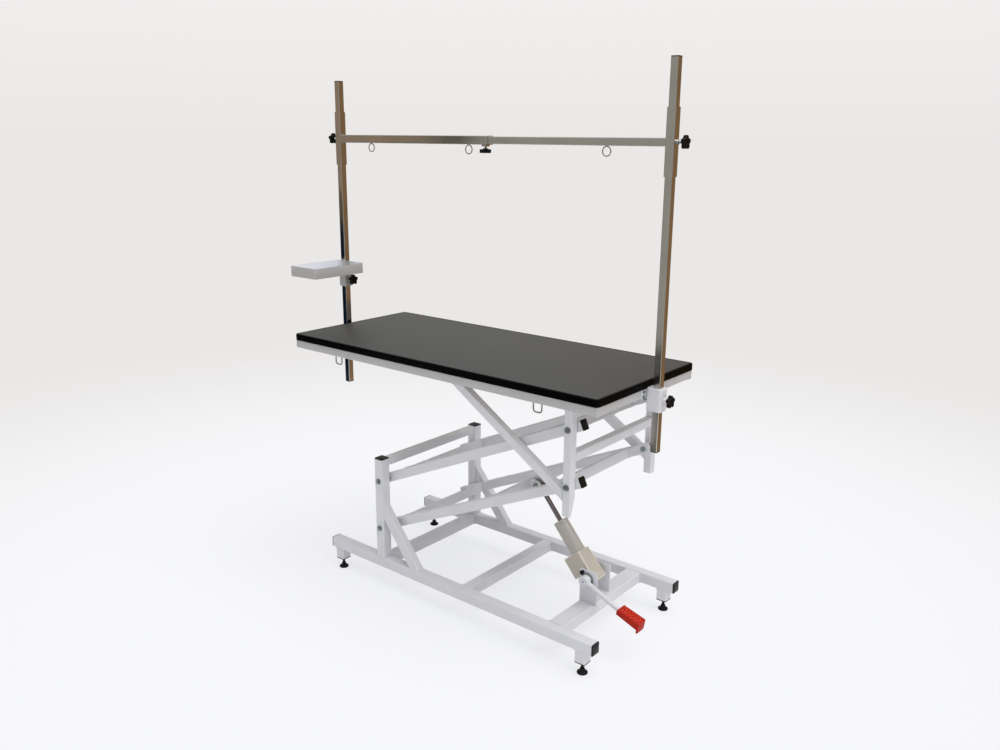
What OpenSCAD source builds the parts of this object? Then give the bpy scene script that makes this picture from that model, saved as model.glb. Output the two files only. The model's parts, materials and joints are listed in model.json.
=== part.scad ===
// Hydraulic grooming table: a foot-pumped parallelogram lift on a tubular base,
// carrying a rubber-topped table with two posts, a telescoping bar and a tool tray.
// Millimetres. +X runs along the table towards the pedal, -Y is the groomer's side,
// +Z is up, and the origin is on the floor under the middle of the table top.

/* [Table top] */
// Length of the table top
table_l = 1400; // [1200:10:1600]
// Width of the table top
table_w = 600; // [540:10:760]
// Height of the table top's surface with the lift where it is drawn
table_h = 940; // [820:5:965]
// Thickness of the board
board_t = 22; // [15:1:30]
// Thickness of the rubber mat
mat_t = 3; // [2:0.5:6]
// Width of the black edging seen from above
edging_w = 9; // [5:1:16]
// Thickness of the edging round the board
edging_t = 3; // [2:0.5:5]
// Corner radius of the table top
corner_r = 16; // [8:1:30]

/* [Table frame] */
// Side of the square frame tube
frame_tube = 30; // [20:5:40]
// Distance from the board's edge in to the frame
frame_inset = 5; // [0:1:15]
// Distance from the middle of the table to the lift's table pivots
hanger_x = 573.5; // [500:0.5:590]
// Length of the hangers below the frame
hanger_l = 360; // [340:5:400]
// Side of the square hanger tube
hanger_tube = 30; // [25:1:40]
// Height of the bevel at the foot of each hanger
hanger_bevel = 70; // [10:5:90]
// Distance from the frame's underside to the table brace's top, along the table
table_brace_x = 103; // [60:1:160]
// Slope of the table braces in degrees
table_brace_angle = 32.8; // [25:0.1:33]
// Side of the square brace tube
table_brace_tube = 30; // [20:1:30]
// Distance from the frame's underside to the middle of the hangers' cross tube
hanger_cross_drop = 165; // [110:1:180]
// Distance from the middle of the table to each leash loop
loop_x = 466; // [300:1:600]
// Inside width of a leash loop
loop_w = 28; // [16:1:60]
// Distance that a leash loop hangs below the frame
loop_drop = 35; // [20:1:60]
// Diameter of the leash loops' wire
loop_wire = 5; // [3:0.5:8]

/* [Lift] */
// Distance between the pivots of each arm
arm_l = 919; // [860:1:940]
// Height of the lower base pivot above the floor
low_pivot_z = 244; // [220:1:300]
// Distance between the lower and upper pivots
pivot_gap = 190; // [150:1:200]
// Distance from the frame's underside to the upper table pivots
pivot_drop = 72.5; // [55:0.5:90]
// Width of an arm tube
arm_w = 30; // [20:1:40]
// Height of an arm tube
arm_h = 35; // [30:1:45]
// Distance that an arm runs past its base pivot
arm_end = 20; // [15:1:26]
// Distance that an arm runs past its table pivot
arm_far_end = 31; // [15:1:35]
// Distance from the table's middle line to the middle of an arm
arm_y = 220; // [180:1:240]
// Distance along the arm to its first cross tube
cross_tube_d = 90; // [80:1:200]
// Distance from the table pivot back to the last cross tube
cross_tube_back = 80; // [60:1:150]
// Distance along the lower arm to the tube that carries the rod bracket
lift_tube_d = 546; // [500:1:600]
// Side of the tube that carries the rod bracket
lift_tube = 35; // [30:1:40]
// Diameter of the pivot bolts
pivot_d = 10; // [8:1:12]
// Length of the spacer between an upright and its arm
spacer_l = 10; // [4:1:16]
// Thickness of the washer between a hanger and its arm
washer_l = 2; // [1:0.5:4]

/* [Base] */
// Length of the base rails
rail_l = 1240; // [1180:10:1400]
// Distance that a rail runs past its upright
rail_back = 276; // [220:2:320]
// Side of the square base tube
base_tube = 40; // [35:1:45]
// Wall of all the steel tubes
tube_wall = 2; // [1.5:0.5:3]
// Height of the rails' top above the floor
rail_top = 125; // [115:1:150]
// Height of the foot stubs under the rails
stub_h = 40; // [25:1:50]
// Distance from the left end of a rail to its foot
left_foot_in = 37; // [30:1:80]
// Distance from the right end of a rail to its foot
right_foot_in = 44; // [30:1:80]
// Height of the uprights above the rails
upright_h = 395; // [370:5:420]
// Slope of the base braces in degrees
base_brace_angle = 51; // [45:0.5:60]
// Distance from an upright to the middle of its brace's foot
base_brace_foot = 152; // [120:1:200]
// Depth of a brace tube across the table
base_brace_w = 30; // [20:1:35]
// Distance from the uprights to the middle cross member
middle_member_x = 403; // [330:1:520]
// Distance from the uprights to the pump's cross member
pump_member_x = 799; // [790:1:806]
// Width of the pump's cross member
pump_member_w = 60; // [56:1:70]
// Diameter of a foot's pad
foot_d = 36; // [25:1:50]
// Diameter of a foot's screw
foot_screw_d = 10; // [8:1:14]

/* [Hydraulic pump] */
// Distance from the uprights to the pump's pivot
pump_pivot_x = 785; // [780:1:790]
// Height of the pump's pivot
pump_pivot_z = 193; // [185:1:200]
// Distance of the pump's axis from the middle line
pump_y = -8; // [-20:1:20]
// Distance along the lower arm to the rod's pin
rod_pin_d = 592; // [585:1:620]
// Distance of the rod's pin below the arm's middle line
rod_pin_drop = 8; // [4:1:12]
// Diameter of the barrel
barrel_d = 54; // [46:1:60]
// Diameter of the rod
rod_d = 17; // [12:1:22]
// Distance from the pump's pivot to the barrel's top
barrel_top = 227; // [200:1:235]
// Distance from the pump's pivot to the block's top
block_top = 103; // [90:1:120]
// Distance from the hub of the pedal lever to the uprights
lever_x = 801; // [796:1:806]
// Height of the pedal lever's hub
lever_z = 216; // [212:1:222]
// Length of the pedal lever from hub to pedal
lever_l = 152; // [120:1:200]
// Slope of the pedal lever in degrees
lever_angle = 23.5; // [15:0.5:28]
// Diameter of the pedal lever
lever_d = 18; // [12:1:20]
// Length of the pedal
pedal_l = 88; // [60:1:110]
// Width of the pedal
pedal_w = 45; // [36:1:60]
// Slope of the pedal's tread in degrees
pedal_slope = 16; // [5:1:20]
// Number of ribs on the tread
rib_count = 5; // [3:1:6]

/* [Posts and bar] */
// Length of a post
post_l = 1200; // [900:10:1400]
// Side of the square post
post_tube = 25; // [20:1:30]
// Wall of the stainless tubes
post_wall = 1.5; // [1:0.5:2]
// Distance from the table's edge out to the middle of a post
post_out = 32; // [30:1:45]
// Height of the left post's foot above the floor
left_post_z = 685; // [640:5:760]
// Height of the right post's foot above the floor
right_post_z = 710; // [640:5:760]
// Height of the bar's middle above the floor
bar_z = 1672; // [1500:1:1720]
// Length of the sleeves on the posts
sleeve_l = 200; // [100:5:240]
// Distance from the table's middle to the end of the bar's outer tube
bar_joint_x = 35; // [-100:5:200]
// Length of the inner tube that is inside the outer one
bar_overlap = 160; // [80:5:300]
// Outside diameter of the rings on the bar
ring_d = 34; // [24:1:60]
// Diameter of the rings' wire
ring_wire = 4; // [3:0.5:6]
// Places of the rings along the table
ring_xs = [-556, -62, 506];
// Width of a bracket's socket across the table
socket_w = 46; // [42:1:60]
// Wall of a socket on the post's outer side
socket_wall = 10; // [5:1:14]
// Height of a bracket's socket
socket_h = 76; // [50:1:100]
// Height of a socket's middle below the table top
socket_drop = 57; // [50:1:70]

/* [Tool tray] */
// Length of the tray across the table
tray_l = 250; // [160:5:300]
// Width of the tray along the table
tray_w = 150; // [100:5:180]
// Depth of the tray
tray_h = 40; // [25:1:60]
// Wall of the tray
tray_wall = 2; // [1.5:0.5:4]
// Height of the tray's rim above the floor
tray_z = 1185; // [1160:1:1300]
// Distance from the post to the tray's near rim
tray_front = 220; // [120:5:230]
// Side of the collar under the tray
collar_side = 38; // [36:1:46]
// Height of the collar
collar_h = 56; // [40:1:80]

/* [Star knobs] */
// Diameter of a knob
knob_d = 42; // [30:1:50]
// Thickness of a knob
knob_t = 13; // [10:1:24]
// Number of lobes
knob_lobes = 5; // [5:1:8]
// Diameter of a knob's screw
knob_screw_d = 8; // [6:1:10]
// Distance from the tube's middle to the near face of its knob
knob_out = 38; // [36:1:50]

/* [Hidden] */
$fn = 48;

// Fits
run_gap = 0.05;      // radial clearance of a pin that turns
hole_gap = 0.25;     // radial clearance of a bolt in a drilled wall
slide_gap = 0.5;     // clearance on each side of a sliding tube
face_gap = 0.3;      // gap between faces that pass each other
plug_gap = 0.2;      // clearance of a plug in its tube
pin_play = 7.5;      // extra radius of the rod's eye round its pin

// Small details
cap_t = 4;
plug_l = 12;
corner = 4;          // outside corner radius of the steel tubes
post_corner = 2.5;
boss_wall = 4;
plate_t = 4;
head_h = 6.5;
head_side = 19.6;    // across the corners of a bolt head or nut
nut_h = 8;
washer_t = 1.5;
washer_side = 22;

// Heights
frame_top = table_h - mat_t - board_t;
frame_z = frame_top - frame_tube / 2;
frame_low = frame_top - frame_tube;
high_hang_z = frame_low - pivot_drop;
low_hang_z = high_hang_z - pivot_gap;
high_pivot_z = low_pivot_z + pivot_gap;
rail_z = rail_top - base_tube / 2;
rail_low = rail_top - base_tube;
stub_low = rail_low - stub_h;
upright_top = rail_top + upright_h;

// The lift
arm_angle = asin((low_hang_z - low_pivot_z) / arm_l);
upright_x = hanger_x - arm_l * cos(arm_angle);
arm_face = arm_y + arm_w / 2;
upright_y = arm_face + spacer_l + base_tube / 2;
hanger_y = arm_face + washer_l + hanger_tube / 2;
member_span = 2 * upright_y - base_tube;

// The base
rail_x0 = upright_x - rail_back;
rail_x1 = rail_x0 + rail_l;
foot_xs = [rail_x0 + left_foot_in, rail_x1 - right_foot_in];
pump_member_mid = upright_x + pump_member_x;

// The pump: its own frame has +Z along the rod and +X on its upper side
pump_x = upright_x + pump_pivot_x;
rod_pin_x = upright_x + rod_pin_d * cos(arm_angle) + rod_pin_drop * sin(arm_angle);
rod_pin_z = low_pivot_z + rod_pin_d * sin(arm_angle) - rod_pin_drop * cos(arm_angle);
pump_tilt = atan2(rod_pin_x - pump_x, rod_pin_z - pump_pivot_z);
rod_reach = norm([rod_pin_x - pump_x, rod_pin_z - pump_pivot_z]);
pump_pin_d = 12;
rod_pin_size = 12;
eye_w = 24;
eye_wall = 6.5;
eye_bore_d = rod_pin_size + 2 * pin_play;
eye_d = eye_bore_d + 2 * eye_wall;
bore_d = 44;
gland_t = 10;
piston_t = 15;
piston_top = 193;
cavity_low = 40;
block_low = 22;
block_left = 54;
block_right = 24;
block_y0 = -36;
block_y1 = 25;
tail_d = 40;
pump_boss_d = 28;
near_plate_y = -67;
far_plate_y = 46;
near_plate = [70, 122];
far_plate = [50, 105];
lever_hub_d = 36;
lever_hub_w = 26;
lever_washer_d = 45;
stop_bolt_in = 11;
stop_bolt_down = 12;
stop_bolt_d = 16;
lever_washer_t = 4;
lever_shaft_d = 16;
pedal_back_t = 19;
pedal_front_t = 26;
pedal_lip_h = 37;
pedal_lip_t = 4;
pedal_shift = 6;
rib_w = 4;
rib_h = 1.5;
lever_y = near_plate_y - lever_washer_t - 1 - lever_hub_w / 2;

// Posts and bar
post_xs = [-table_l / 2 - post_out, table_l / 2 + post_out];
sleeve_in = post_tube + 2 * slide_gap;
sleeve_side = sleeve_in + 2 * tube_wall;
bar_half = post_xs[1] - sleeve_side / 2;
knob_tip = post_tube / 2 + face_gap;
knob_neck_h = 3;
knob_neck_d = 18;
weld_nut_t = 8;
socket_z = table_h - socket_drop;
socket_corner = 10;
knob_boss_h = 10;
knob_boss_d = 22;
tray_floor = tray_z - tray_h;

// ---------- sections ----------

module outline(w, h, r) {
    square([w - 2 * r, h], center = true);
    square([w, h - 2 * r], center = true);
    for (x = [-1, 1], y = [-1, 1])
        translate([x * (w / 2 - r), y * (h / 2 - r)])
            circle(r);
}

module section(w, h, wall, r) {
    difference() {
        outline(w, h, r);
        outline(w - 2 * wall, h - 2 * wall, max(r - wall, 0.5));
    }
}

// A tube of width w along its first cross direction and h along the second
module tube_x(x0, x1, w, h, wall = tube_wall, r = corner) {
    translate([x0, 0, 0])
        rotate([90, 0, 90])
            linear_extrude(x1 - x0)
                section(w, h, wall, r);
}

module tube_y(y0, y1, w, h, wall = tube_wall, r = corner) {
    translate([0, y1, 0])
        rotate([90, 0, 0])
            linear_extrude(y1 - y0)
                section(w, h, wall, r);
}

module tube_z(z0, z1, w, h, wall = tube_wall, r = corner) {
    translate([0, 0, z0])
        linear_extrude(z1 - z0)
            section(w, h, wall, r);
}

// A round bar along Y
module pin_y(y0, y1, d) {
    translate([0, y1, 0])
        rotate([90, 0, 0])
            cylinder(h = y1 - y0, d = d);
}

module hex_y(y0, y1, d) {
    translate([0, y1, 0])
        rotate([90, 0, 0])
            cylinder(h = y1 - y0, d = d, $fn = 6);
}

// An end cap for a tube that ends at z = 0 and lies below it
module end_cap(w, h, wall) {
    linear_extrude(cap_t)
        outline(w, h, corner);
    inner = 2 * wall + 2 * plug_gap;
    translate([0, 0, -plug_l])
        linear_extrude(plug_l)
            outline(w - inner, h - inner, corner - wall);
}

module both_sides() {
    children();
    mirror([0, 1, 0])
        children();
}

module on_lower_arm() {
    translate([upright_x, 0, low_pivot_z])
        rotate([0, -arm_angle, 0])
            children();
}

module on_upper_arm() {
    translate([upright_x, 0, high_pivot_z])
        rotate([0, -arm_angle, 0])
            children();
}

module on_pump() {
    translate([pump_x, pump_y, pump_pivot_z])
        rotate([0, pump_tilt, 0])
            children();
}

// ---------- base ----------

module base_rails() {
    color("white")
        both_sides()
            translate([0, -upright_y, rail_z])
                tube_x(rail_x0, rail_x1, base_tube, base_tube);
}

module foot_stubs() {
    color("white")
        for (x = foot_xs)
            both_sides()
                translate([x, -upright_y, 0])
                    tube_z(stub_low, rail_low, base_tube, base_tube);
}

module uprights() {
    color("white")
        both_sides()
            translate([upright_x, -upright_y, 0])
                difference() {
                    tube_z(rail_top, upright_top, base_tube, base_tube);
                    for (z = [low_pivot_z, high_pivot_z])
                        translate([0, 0, z])
                            pin_y(-base_tube, base_tube, pivot_d + 2 * hole_gap);
                }
}

module upright_cross_tube() {
    color("white")
        translate([upright_x, 0, upright_top - frame_tube / 2])
            tube_y(-member_span / 2, member_span / 2, frame_tube, frame_tube);
}

module base_braces() {
    run = base_brace_foot + base_tube / 2;
    color("white")
        both_sides()
            translate([upright_x, -upright_y, rail_top])
                intersection() {
                    translate([run, 0, 0])
                        rotate([0, base_brace_angle, 0])
                            tube_x(-2 * upright_h, upright_h, base_brace_w, base_tube);
                    translate([base_tube / 2, -base_tube, 0])
                        cube([rail_l, 2 * base_tube, upright_h]);
                }
}

module base_cross_members() {
    color("white")
        for (x = [0, middle_member_x])
            translate([upright_x + x, 0, rail_z])
                tube_y(-member_span / 2, member_span / 2, base_tube, base_tube);
}

module pump_cross_member() {
    color("white")
        translate([pump_member_mid, 0, rail_z])
            tube_y(-member_span / 2, member_span / 2, pump_member_w, base_tube);
}

module pump_plate(y, size, bore) {
    x0 = pump_member_mid - pump_member_w / 2;
    difference() {
        translate([x0, y, rail_top])
            cube([size[0], plate_t, size[1]]);
        translate([pump_x, 0, pump_pivot_z])
            pin_y(y - 1, y + plate_t + 1, pump_pin_d + 2 * hole_gap);
        if (bore)
            translate([upright_x + lever_x, 0, lever_z])
                pin_y(y - 1, y + plate_t + 1, lever_shaft_d + 2 * run_gap);
    }
}

module pump_plates() {
    color("white") {
        pump_plate(near_plate_y, near_plate, true);
        pump_plate(far_plate_y, far_plate, false);
    }
}

module base_end_caps() {
    color("black")
        both_sides()
            translate([0, -upright_y, 0]) {
                translate([upright_x, 0, upright_top])
                    end_cap(base_tube, base_tube, tube_wall);
                translate([rail_x1, 0, rail_z])
                    rotate([0, 90, 0])
                        end_cap(base_tube, base_tube, tube_wall);
                translate([rail_x0, 0, rail_z])
                    rotate([0, -90, 0])
                        end_cap(base_tube, base_tube, tube_wall);
                for (x = foot_xs)
                    translate([x, 0, stub_low])
                        difference() {
                            rotate([180, 0, 0])
                                end_cap(base_tube, base_tube, tube_wall);
                            translate([0, 0, -plug_l])
                                cylinder(h = 3 * plug_l, d = foot_screw_d + 2 * run_gap);
                        }
            }
}

// A bolt whose head is outside an upright or hanger and whose nut is inside the arm
module pivot_bolt(head_y) {
    nut_y = -arm_y + arm_w / 2 + face_gap;
    hex_y(head_y - head_h, head_y, head_side);
    pin_y(head_y - 1, nut_y + nut_h + 3, pivot_d);
    difference() {
        hex_y(nut_y, nut_y + nut_h, head_side);
        pin_y(nut_y - 1, nut_y + nut_h + 1, pivot_d);
    }
}

module base_pivot_bolts() {
    color("darkseagreen")
        both_sides()
            for (z = [low_pivot_z, high_pivot_z])
                translate([upright_x, 0, z])
                    pivot_bolt(-upright_y - base_tube / 2);
}

module base_pivot_spacers() {
    color("lightgrey")
        both_sides()
            for (z = [low_pivot_z, high_pivot_z])
                translate([upright_x, 0, z])
                    difference() {
                        pin_y(-arm_face - spacer_l, -arm_face - face_gap, washer_side);
                        pin_y(-upright_y, 0, pivot_d + 2 * run_gap);
                    }
}

module pump_fasteners() {
    far_face = far_plate_y + plate_t;
    color("dimgrey") {
        translate([pump_x, 0, pump_pivot_z]) {
            pin_y(near_plate_y, far_face + 1, pump_pin_d);
            hex_y(far_face, far_face + nut_h, head_side);
        }
        translate([
            pump_member_mid - pump_member_w / 2 + stop_bolt_in, 0,
            rail_top + near_plate[1] - stop_bolt_down
        ])
            pin_y(near_plate_y - nut_h, near_plate_y, stop_bolt_d);
        translate([upright_x + lever_x, 0, lever_z])
            difference() {
                pin_y(near_plate_y - lever_washer_t, near_plate_y, lever_washer_d);
                pin_y(near_plate_y - plug_l, near_plate_y + 1, lever_shaft_d + 2 * run_gap);
            }
    }
}

// ---------- feet ----------

module levelling_foot(x, side) {
    pad_h = 5;
    skirt_h = 12;
    screw_top = stub_low + plug_l + 14;
    color("black")
        translate([x, side * upright_y, 0]) {
            cylinder(h = pad_h, d = foot_d);
            translate([0, 0, pad_h])
                cylinder(h = skirt_h, d1 = foot_d * 0.8, d2 = foot_screw_d + 6);
            cylinder(h = screw_top, d = foot_screw_d);
        }
}

module front_left_foot() { levelling_foot(foot_xs[0], -1); }
module front_right_foot() { levelling_foot(foot_xs[1], -1); }
module rear_left_foot() { levelling_foot(foot_xs[0], 1); }
module rear_right_foot() { levelling_foot(foot_xs[1], 1); }

// ---------- lift arms ----------

// One arm in the arms' frame: +X runs from the base pivot to the table pivot
module arm(side) {
    color("white")
        translate([0, side * arm_y, 0])
            difference() {
                union() {
                    tube_x(-arm_end, arm_l + arm_far_end, arm_w, arm_h);
                    for (x = [0, arm_l])
                        translate([x, 0, 0])
                            pin_y(-arm_w / 2, arm_w / 2, pivot_d + 2 * boss_wall);
                }
                for (x = [0, arm_l])
                    translate([x, 0, 0])
                        pin_y(-arm_w, arm_w, pivot_d + 2 * run_gap);
            }
}

module arm_caps() {
    color("black")
        both_sides()
            translate([0, -arm_y, 0]) {
                translate([arm_l + arm_far_end, 0, 0])
                    rotate([0, 90, 0])
                        arm_cap();
                translate([-arm_end, 0, 0])
                    rotate([0, -90, 0])
                        arm_cap();
            }
}

// The plug stays clear of the pivot's boss
module arm_cap() {
    free = arm_end - pivot_d / 2 - boss_wall - 1;
    linear_extrude(cap_t)
        outline(arm_h, arm_w, corner);
    inner = 2 * tube_wall + 2 * plug_gap;
    translate([0, 0, -free])
        linear_extrude(free)
            outline(arm_h - inner, arm_w - inner, corner - tube_wall);
}

module arm_cross_tube(d, w) {
    span = arm_y - arm_w / 2;
    translate([d, 0, 0])
        tube_y(-span, span, w, arm_h);
}

module front_lower_arm() { on_lower_arm() arm(-1); }
module rear_lower_arm() { on_lower_arm() arm(1); }
module front_upper_arm() { on_upper_arm() arm(-1); }
module rear_upper_arm() { on_upper_arm() arm(1); }

module lower_arm_cross_tubes() {
    color("white")
        on_lower_arm() {
            arm_cross_tube(cross_tube_d, arm_w);
            arm_cross_tube(lift_tube_d, lift_tube);
            arm_cross_tube(arm_l - cross_tube_back, arm_w);
        }
}

module upper_arm_cross_tubes() {
    color("white")
        on_upper_arm() {
            arm_cross_tube(cross_tube_d, arm_w);
            arm_cross_tube(arm_l - cross_tube_back, arm_w);
        }
}

module lower_arm_caps() { on_lower_arm() arm_caps(); }
module upper_arm_caps() { on_upper_arm() arm_caps(); }

lug_t = 6;
lug_in = eye_w / 2 + 1.5;

module rod_bracket() {
    lug_r = eye_d / 2 - 2;
    face = lift_tube_d + lift_tube / 2;
    color("white")
        on_lower_arm()
            for (side = [-1, 1])
                translate([0, pump_y + side * (lug_in + lug_t / 2), 0])
                    difference() {
                        intersection() {
                            union() {
                                translate([rod_pin_d, 0, -rod_pin_drop])
                                    pin_y(-lug_t / 2, lug_t / 2, 2 * lug_r);
                                translate([face, -lug_t / 2, -arm_h / 2])
                                    cube([rod_pin_d - face, lug_t, arm_h]);
                            }
                            translate([face, -lug_t, -arm_h])
                                cube([arm_l, 2 * lug_t, 2 * arm_h]);
                        }
                        translate([rod_pin_d, 0, -rod_pin_drop])
                            pin_y(-lug_t, lug_t, rod_pin_size + 2 * hole_gap);
                    }
}

module rod_pin() {
    out = lug_in + lug_t;
    color("darkseagreen")
        on_lower_arm()
            translate([rod_pin_d, pump_y, -rod_pin_drop]) {
                hex_y(-out - nut_h, -out, head_side);
                pin_y(-out - 1, out + nut_h + 4, rod_pin_size);
                hex_y(out, out + nut_h, head_side);
            }
}

// ---------- table ----------

frame_end_x = table_l / 2 - frame_inset;
frame_end_y = table_w / 2 - frame_inset;

module frame_long_tubes() {
    color("white")
        both_sides()
            translate([0, -frame_end_y + frame_tube / 2, frame_z]) {
                tube_x(-frame_end_x, frame_end_x, frame_tube, frame_tube);
                for (x = [-frame_end_x, frame_end_x - tube_wall])
                    translate([x, 0, 0])
                        rotate([0, 90, 0])
                            linear_extrude(tube_wall)
                                outline(frame_tube, frame_tube, corner);
            }
}

module frame_cross_tubes() {
    span = frame_end_y - frame_tube;
    end_x = frame_end_x - frame_tube / 2;
    color("white")
        for (x = [-end_x, -table_l / 4, table_brace_x, hanger_x, end_x])
            translate([x, 0, frame_z])
                tube_y(-span, span, frame_tube, frame_tube);
}

module hangers() {
    low = frame_low - hanger_l;
    color("white")
        for (side = [-1, 1])
            translate([hanger_x, side * hanger_y, 0])
                difference() {
                    tube_z(low, frame_low, hanger_tube, hanger_tube);
                    for (z = [low_hang_z, high_hang_z])
                        translate([0, 0, z])
                            pin_y(-hanger_tube, hanger_tube, pivot_d + 2 * hole_gap);
                    if (side < 0)
                        front_hanger_cut(low);
                }
}

// The front hanger's foot is cut back at an angle on its inner side
module front_hanger_cut(low) {
    half = hanger_tube / 2;
    translate([-hanger_tube, 0, 0])
        rotate([90, 0, 90])
            linear_extrude(2 * hanger_tube)
                polygon([
                    [-half / 2, low - 1],
                    [half + 1, low - 1],
                    [half + 1, low + hanger_bevel],
                    [half, low + hanger_bevel]
                ]);
}

module hanger_cross_tube() {
    span = hanger_y - hanger_tube / 2;
    color("white")
        translate([hanger_x, 0, frame_low - hanger_cross_drop])
            tube_y(-span, span, hanger_tube, hanger_tube);
}

module table_braces() {
    color("white")
        both_sides()
            translate([0, -hanger_y, 0])
                intersection() {
                    translate([table_brace_x, 0, frame_low])
                        rotate([0, table_brace_angle, 0])
                            tube_x(-arm_l, arm_l, table_brace_tube, table_brace_tube);
                    translate([-table_l / 2, -hanger_tube, frame_low - hanger_l])
                        cube([table_l / 2 + hanger_x - hanger_tube / 2, 2 * hanger_tube, hanger_l]);
                }
}

module tabletop_board() {
    color("saddlebrown")
        translate([0, 0, frame_top])
            linear_extrude(board_t)
                outline(table_l - 2 * edging_t, table_w - 2 * edging_t, corner_r - edging_t);
}

module rubber_mat() {
    color([0.25, 0.26, 0.27])
        translate([0, 0, frame_top + board_t])
            linear_extrude(mat_t)
                outline(table_l - 2 * edging_w, table_w - 2 * edging_w, max(corner_r - edging_w, 1));
}

module edge_trim() {
    color("black")
        translate([0, 0, frame_top])
            difference() {
                linear_extrude(board_t + mat_t)
                    outline(table_l, table_w, corner_r);
                translate([0, 0, -1])
                    linear_extrude(board_t + 1)
                        outline(table_l - 2 * edging_t, table_w - 2 * edging_t, corner_r - edging_t);
                linear_extrude(board_t + mat_t + 1)
                    outline(table_l - 2 * edging_w, table_w - 2 * edging_w, max(corner_r - edging_w, 1));
            }
}

module leash_loop(x) {
    bend = 2 * loop_wire;
    leg_x = loop_w / 2 + loop_wire / 2;
    low = frame_low - loop_drop + loop_wire / 2;
    translate([x, -frame_end_y + frame_tube / 2, 0]) {
        for (side = [-1, 1]) {
            translate([side * leg_x, 0, low + bend])
                cylinder(h = frame_low - low - bend, d = loop_wire);
            translate([side * (leg_x - bend), 0, low + bend])
                rotate([90, side > 0 ? 90 : 180, 0])
                    rotate_extrude(angle = 90)
                        translate([bend, 0])
                            circle(d = loop_wire, $fn = 24);
        }
        translate([-leg_x + bend, 0, low])
            rotate([0, 90, 0])
                cylinder(h = 2 * (leg_x - bend), d = loop_wire);
    }
}

module leash_loops() {
    color("silver")
        for (x = [-loop_x, loop_x])
            leash_loop(x);
}

bracket_bolt_y = 34;
bracket_bolt_d = 6;
flange_w = 88;
bracket_bolt_zs = [frame_z - frame_tube * 0.28, frame_z + frame_tube * 0.28];

// A socket for the right post, on a flange that is bolted to the frame's end
module right_bracket() {
    post_x = post_xs[1];
    socket_x0 = table_l / 2 + face_gap;
    socket_x1 = post_x + post_tube / 2 + socket_wall;
    difference() {
        union() {
            translate([(socket_x0 + socket_x1) / 2, 0, socket_z - socket_h / 2])
                linear_extrude(socket_h)
                    outline(socket_x1 - socket_x0, socket_w, socket_corner);
            translate([frame_end_x + plate_t, -socket_w / 2 + socket_corner, frame_low])
                cube([socket_x0 + socket_corner - frame_end_x - plate_t, socket_w - 2 * socket_corner, frame_tube]);
            translate([frame_end_x, -flange_w / 2, frame_low])
                cube([plate_t, flange_w, frame_tube]);
            translate([socket_x1 - 1, 0, socket_z])
                rotate([0, 90, 0])
                    cylinder(h = knob_boss_h + 1, d1 = knob_boss_d, d2 = knob_boss_d / 2 + 3);
        }
        translate([post_x, 0, socket_z - socket_h])
            linear_extrude(2 * socket_h)
                outline(sleeve_in, sleeve_in, post_corner);
        translate([post_x, 0, socket_z])
            rotate([0, 90, 0])
                cylinder(h = 2 * socket_w, d = knob_screw_d + 2 * run_gap);
        for (y = [-1, 1], z = bracket_bolt_zs)
            translate([frame_end_x - 1, y * bracket_bolt_y, z])
                rotate([0, 90, 0])
                    cylinder(h = plate_t + 2, d = bracket_bolt_d + 2 * hole_gap);
    }
}

module post_brackets() {
    color("white") {
        right_bracket();
        mirror([1, 0, 0])
            right_bracket();
    }
}

module bracket_bolts() {
    face = frame_end_x + plate_t;
    color("darkseagreen")
        for (side = [-1, 1], y = [-1, 1], z = bracket_bolt_zs)
            translate([side * face, y * bracket_bolt_y, z])
                rotate([0, side * 90, 0]) {
                    cylinder(h = 4, d = 1.8 * bracket_bolt_d, $fn = 6);
                    translate([0, 0, -plate_t])
                        cylinder(h = plate_t + 1, d = bracket_bolt_d);
                }
}

module hanger_pivot_bolts() {
    color("darkseagreen")
        both_sides()
            for (z = [low_hang_z, high_hang_z])
                translate([hanger_x, 0, z]) {
                    pivot_bolt(-hanger_y - hanger_tube / 2);
                    difference() {
                        pin_y(-arm_face - washer_l, -arm_face - face_gap, washer_side);
                        pin_y(-hanger_y, 0, pivot_d);
                    }
                }
}

// ---------- pump ----------

module pump_barrel() {
    color([0.66, 0.64, 0.6])
        on_pump()
            difference() {
                translate([0, 0, block_top])
                    cylinder(h = barrel_top - block_top, d = barrel_d);
                translate([0, 0, block_top - 1])
                    cylinder(h = barrel_top - gland_t - block_top + 1, d = bore_d);
                cylinder(h = barrel_top + 1, d = rod_d + 2 * run_gap);
            }
}

module pump_block() {
    width = block_y1 - block_y0;
    boss_near = near_plate_y + plate_t + 6;
    color([0.75, 0.71, 0.65])
        on_pump()
            difference() {
                translate([0, -pump_y, 0]) {
                    translate([-block_left, block_y0, block_low])
                        cube([block_left + block_right, width, block_top - block_low]);
                    translate([-tail_d / 2, block_y0, 0])
                        cube([tail_d, width, block_low]);
                    pin_y(block_y0, block_y1, tail_d);
                    pin_y(boss_near, far_plate_y - face_gap, pump_boss_d);
                }
                translate([0, 0, cavity_low])
                    cylinder(h = block_top, d = bore_d);
                pin_y(-200, 200, pump_pin_d + 2 * run_gap);
            }
}

module piston_rod() {
    color("silver")
        on_pump() {
            translate([0, 0, piston_top - piston_t])
                cylinder(h = piston_t, d = bore_d - 2 * run_gap);
            difference() {
                union() {
                    translate([0, 0, piston_top - 1])
                        cylinder(h = rod_reach - piston_top, d = rod_d);
                    translate([0, 0, rod_reach])
                        pin_y(-eye_w / 2, eye_w / 2, eye_d);
                }
                translate([0, 0, rod_reach])
                    pin_y(-eye_w, eye_w, eye_bore_d);
            }
        }
}

module on_lever() {
    translate([upright_x + lever_x, lever_y, lever_z])
        children();
}

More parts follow.
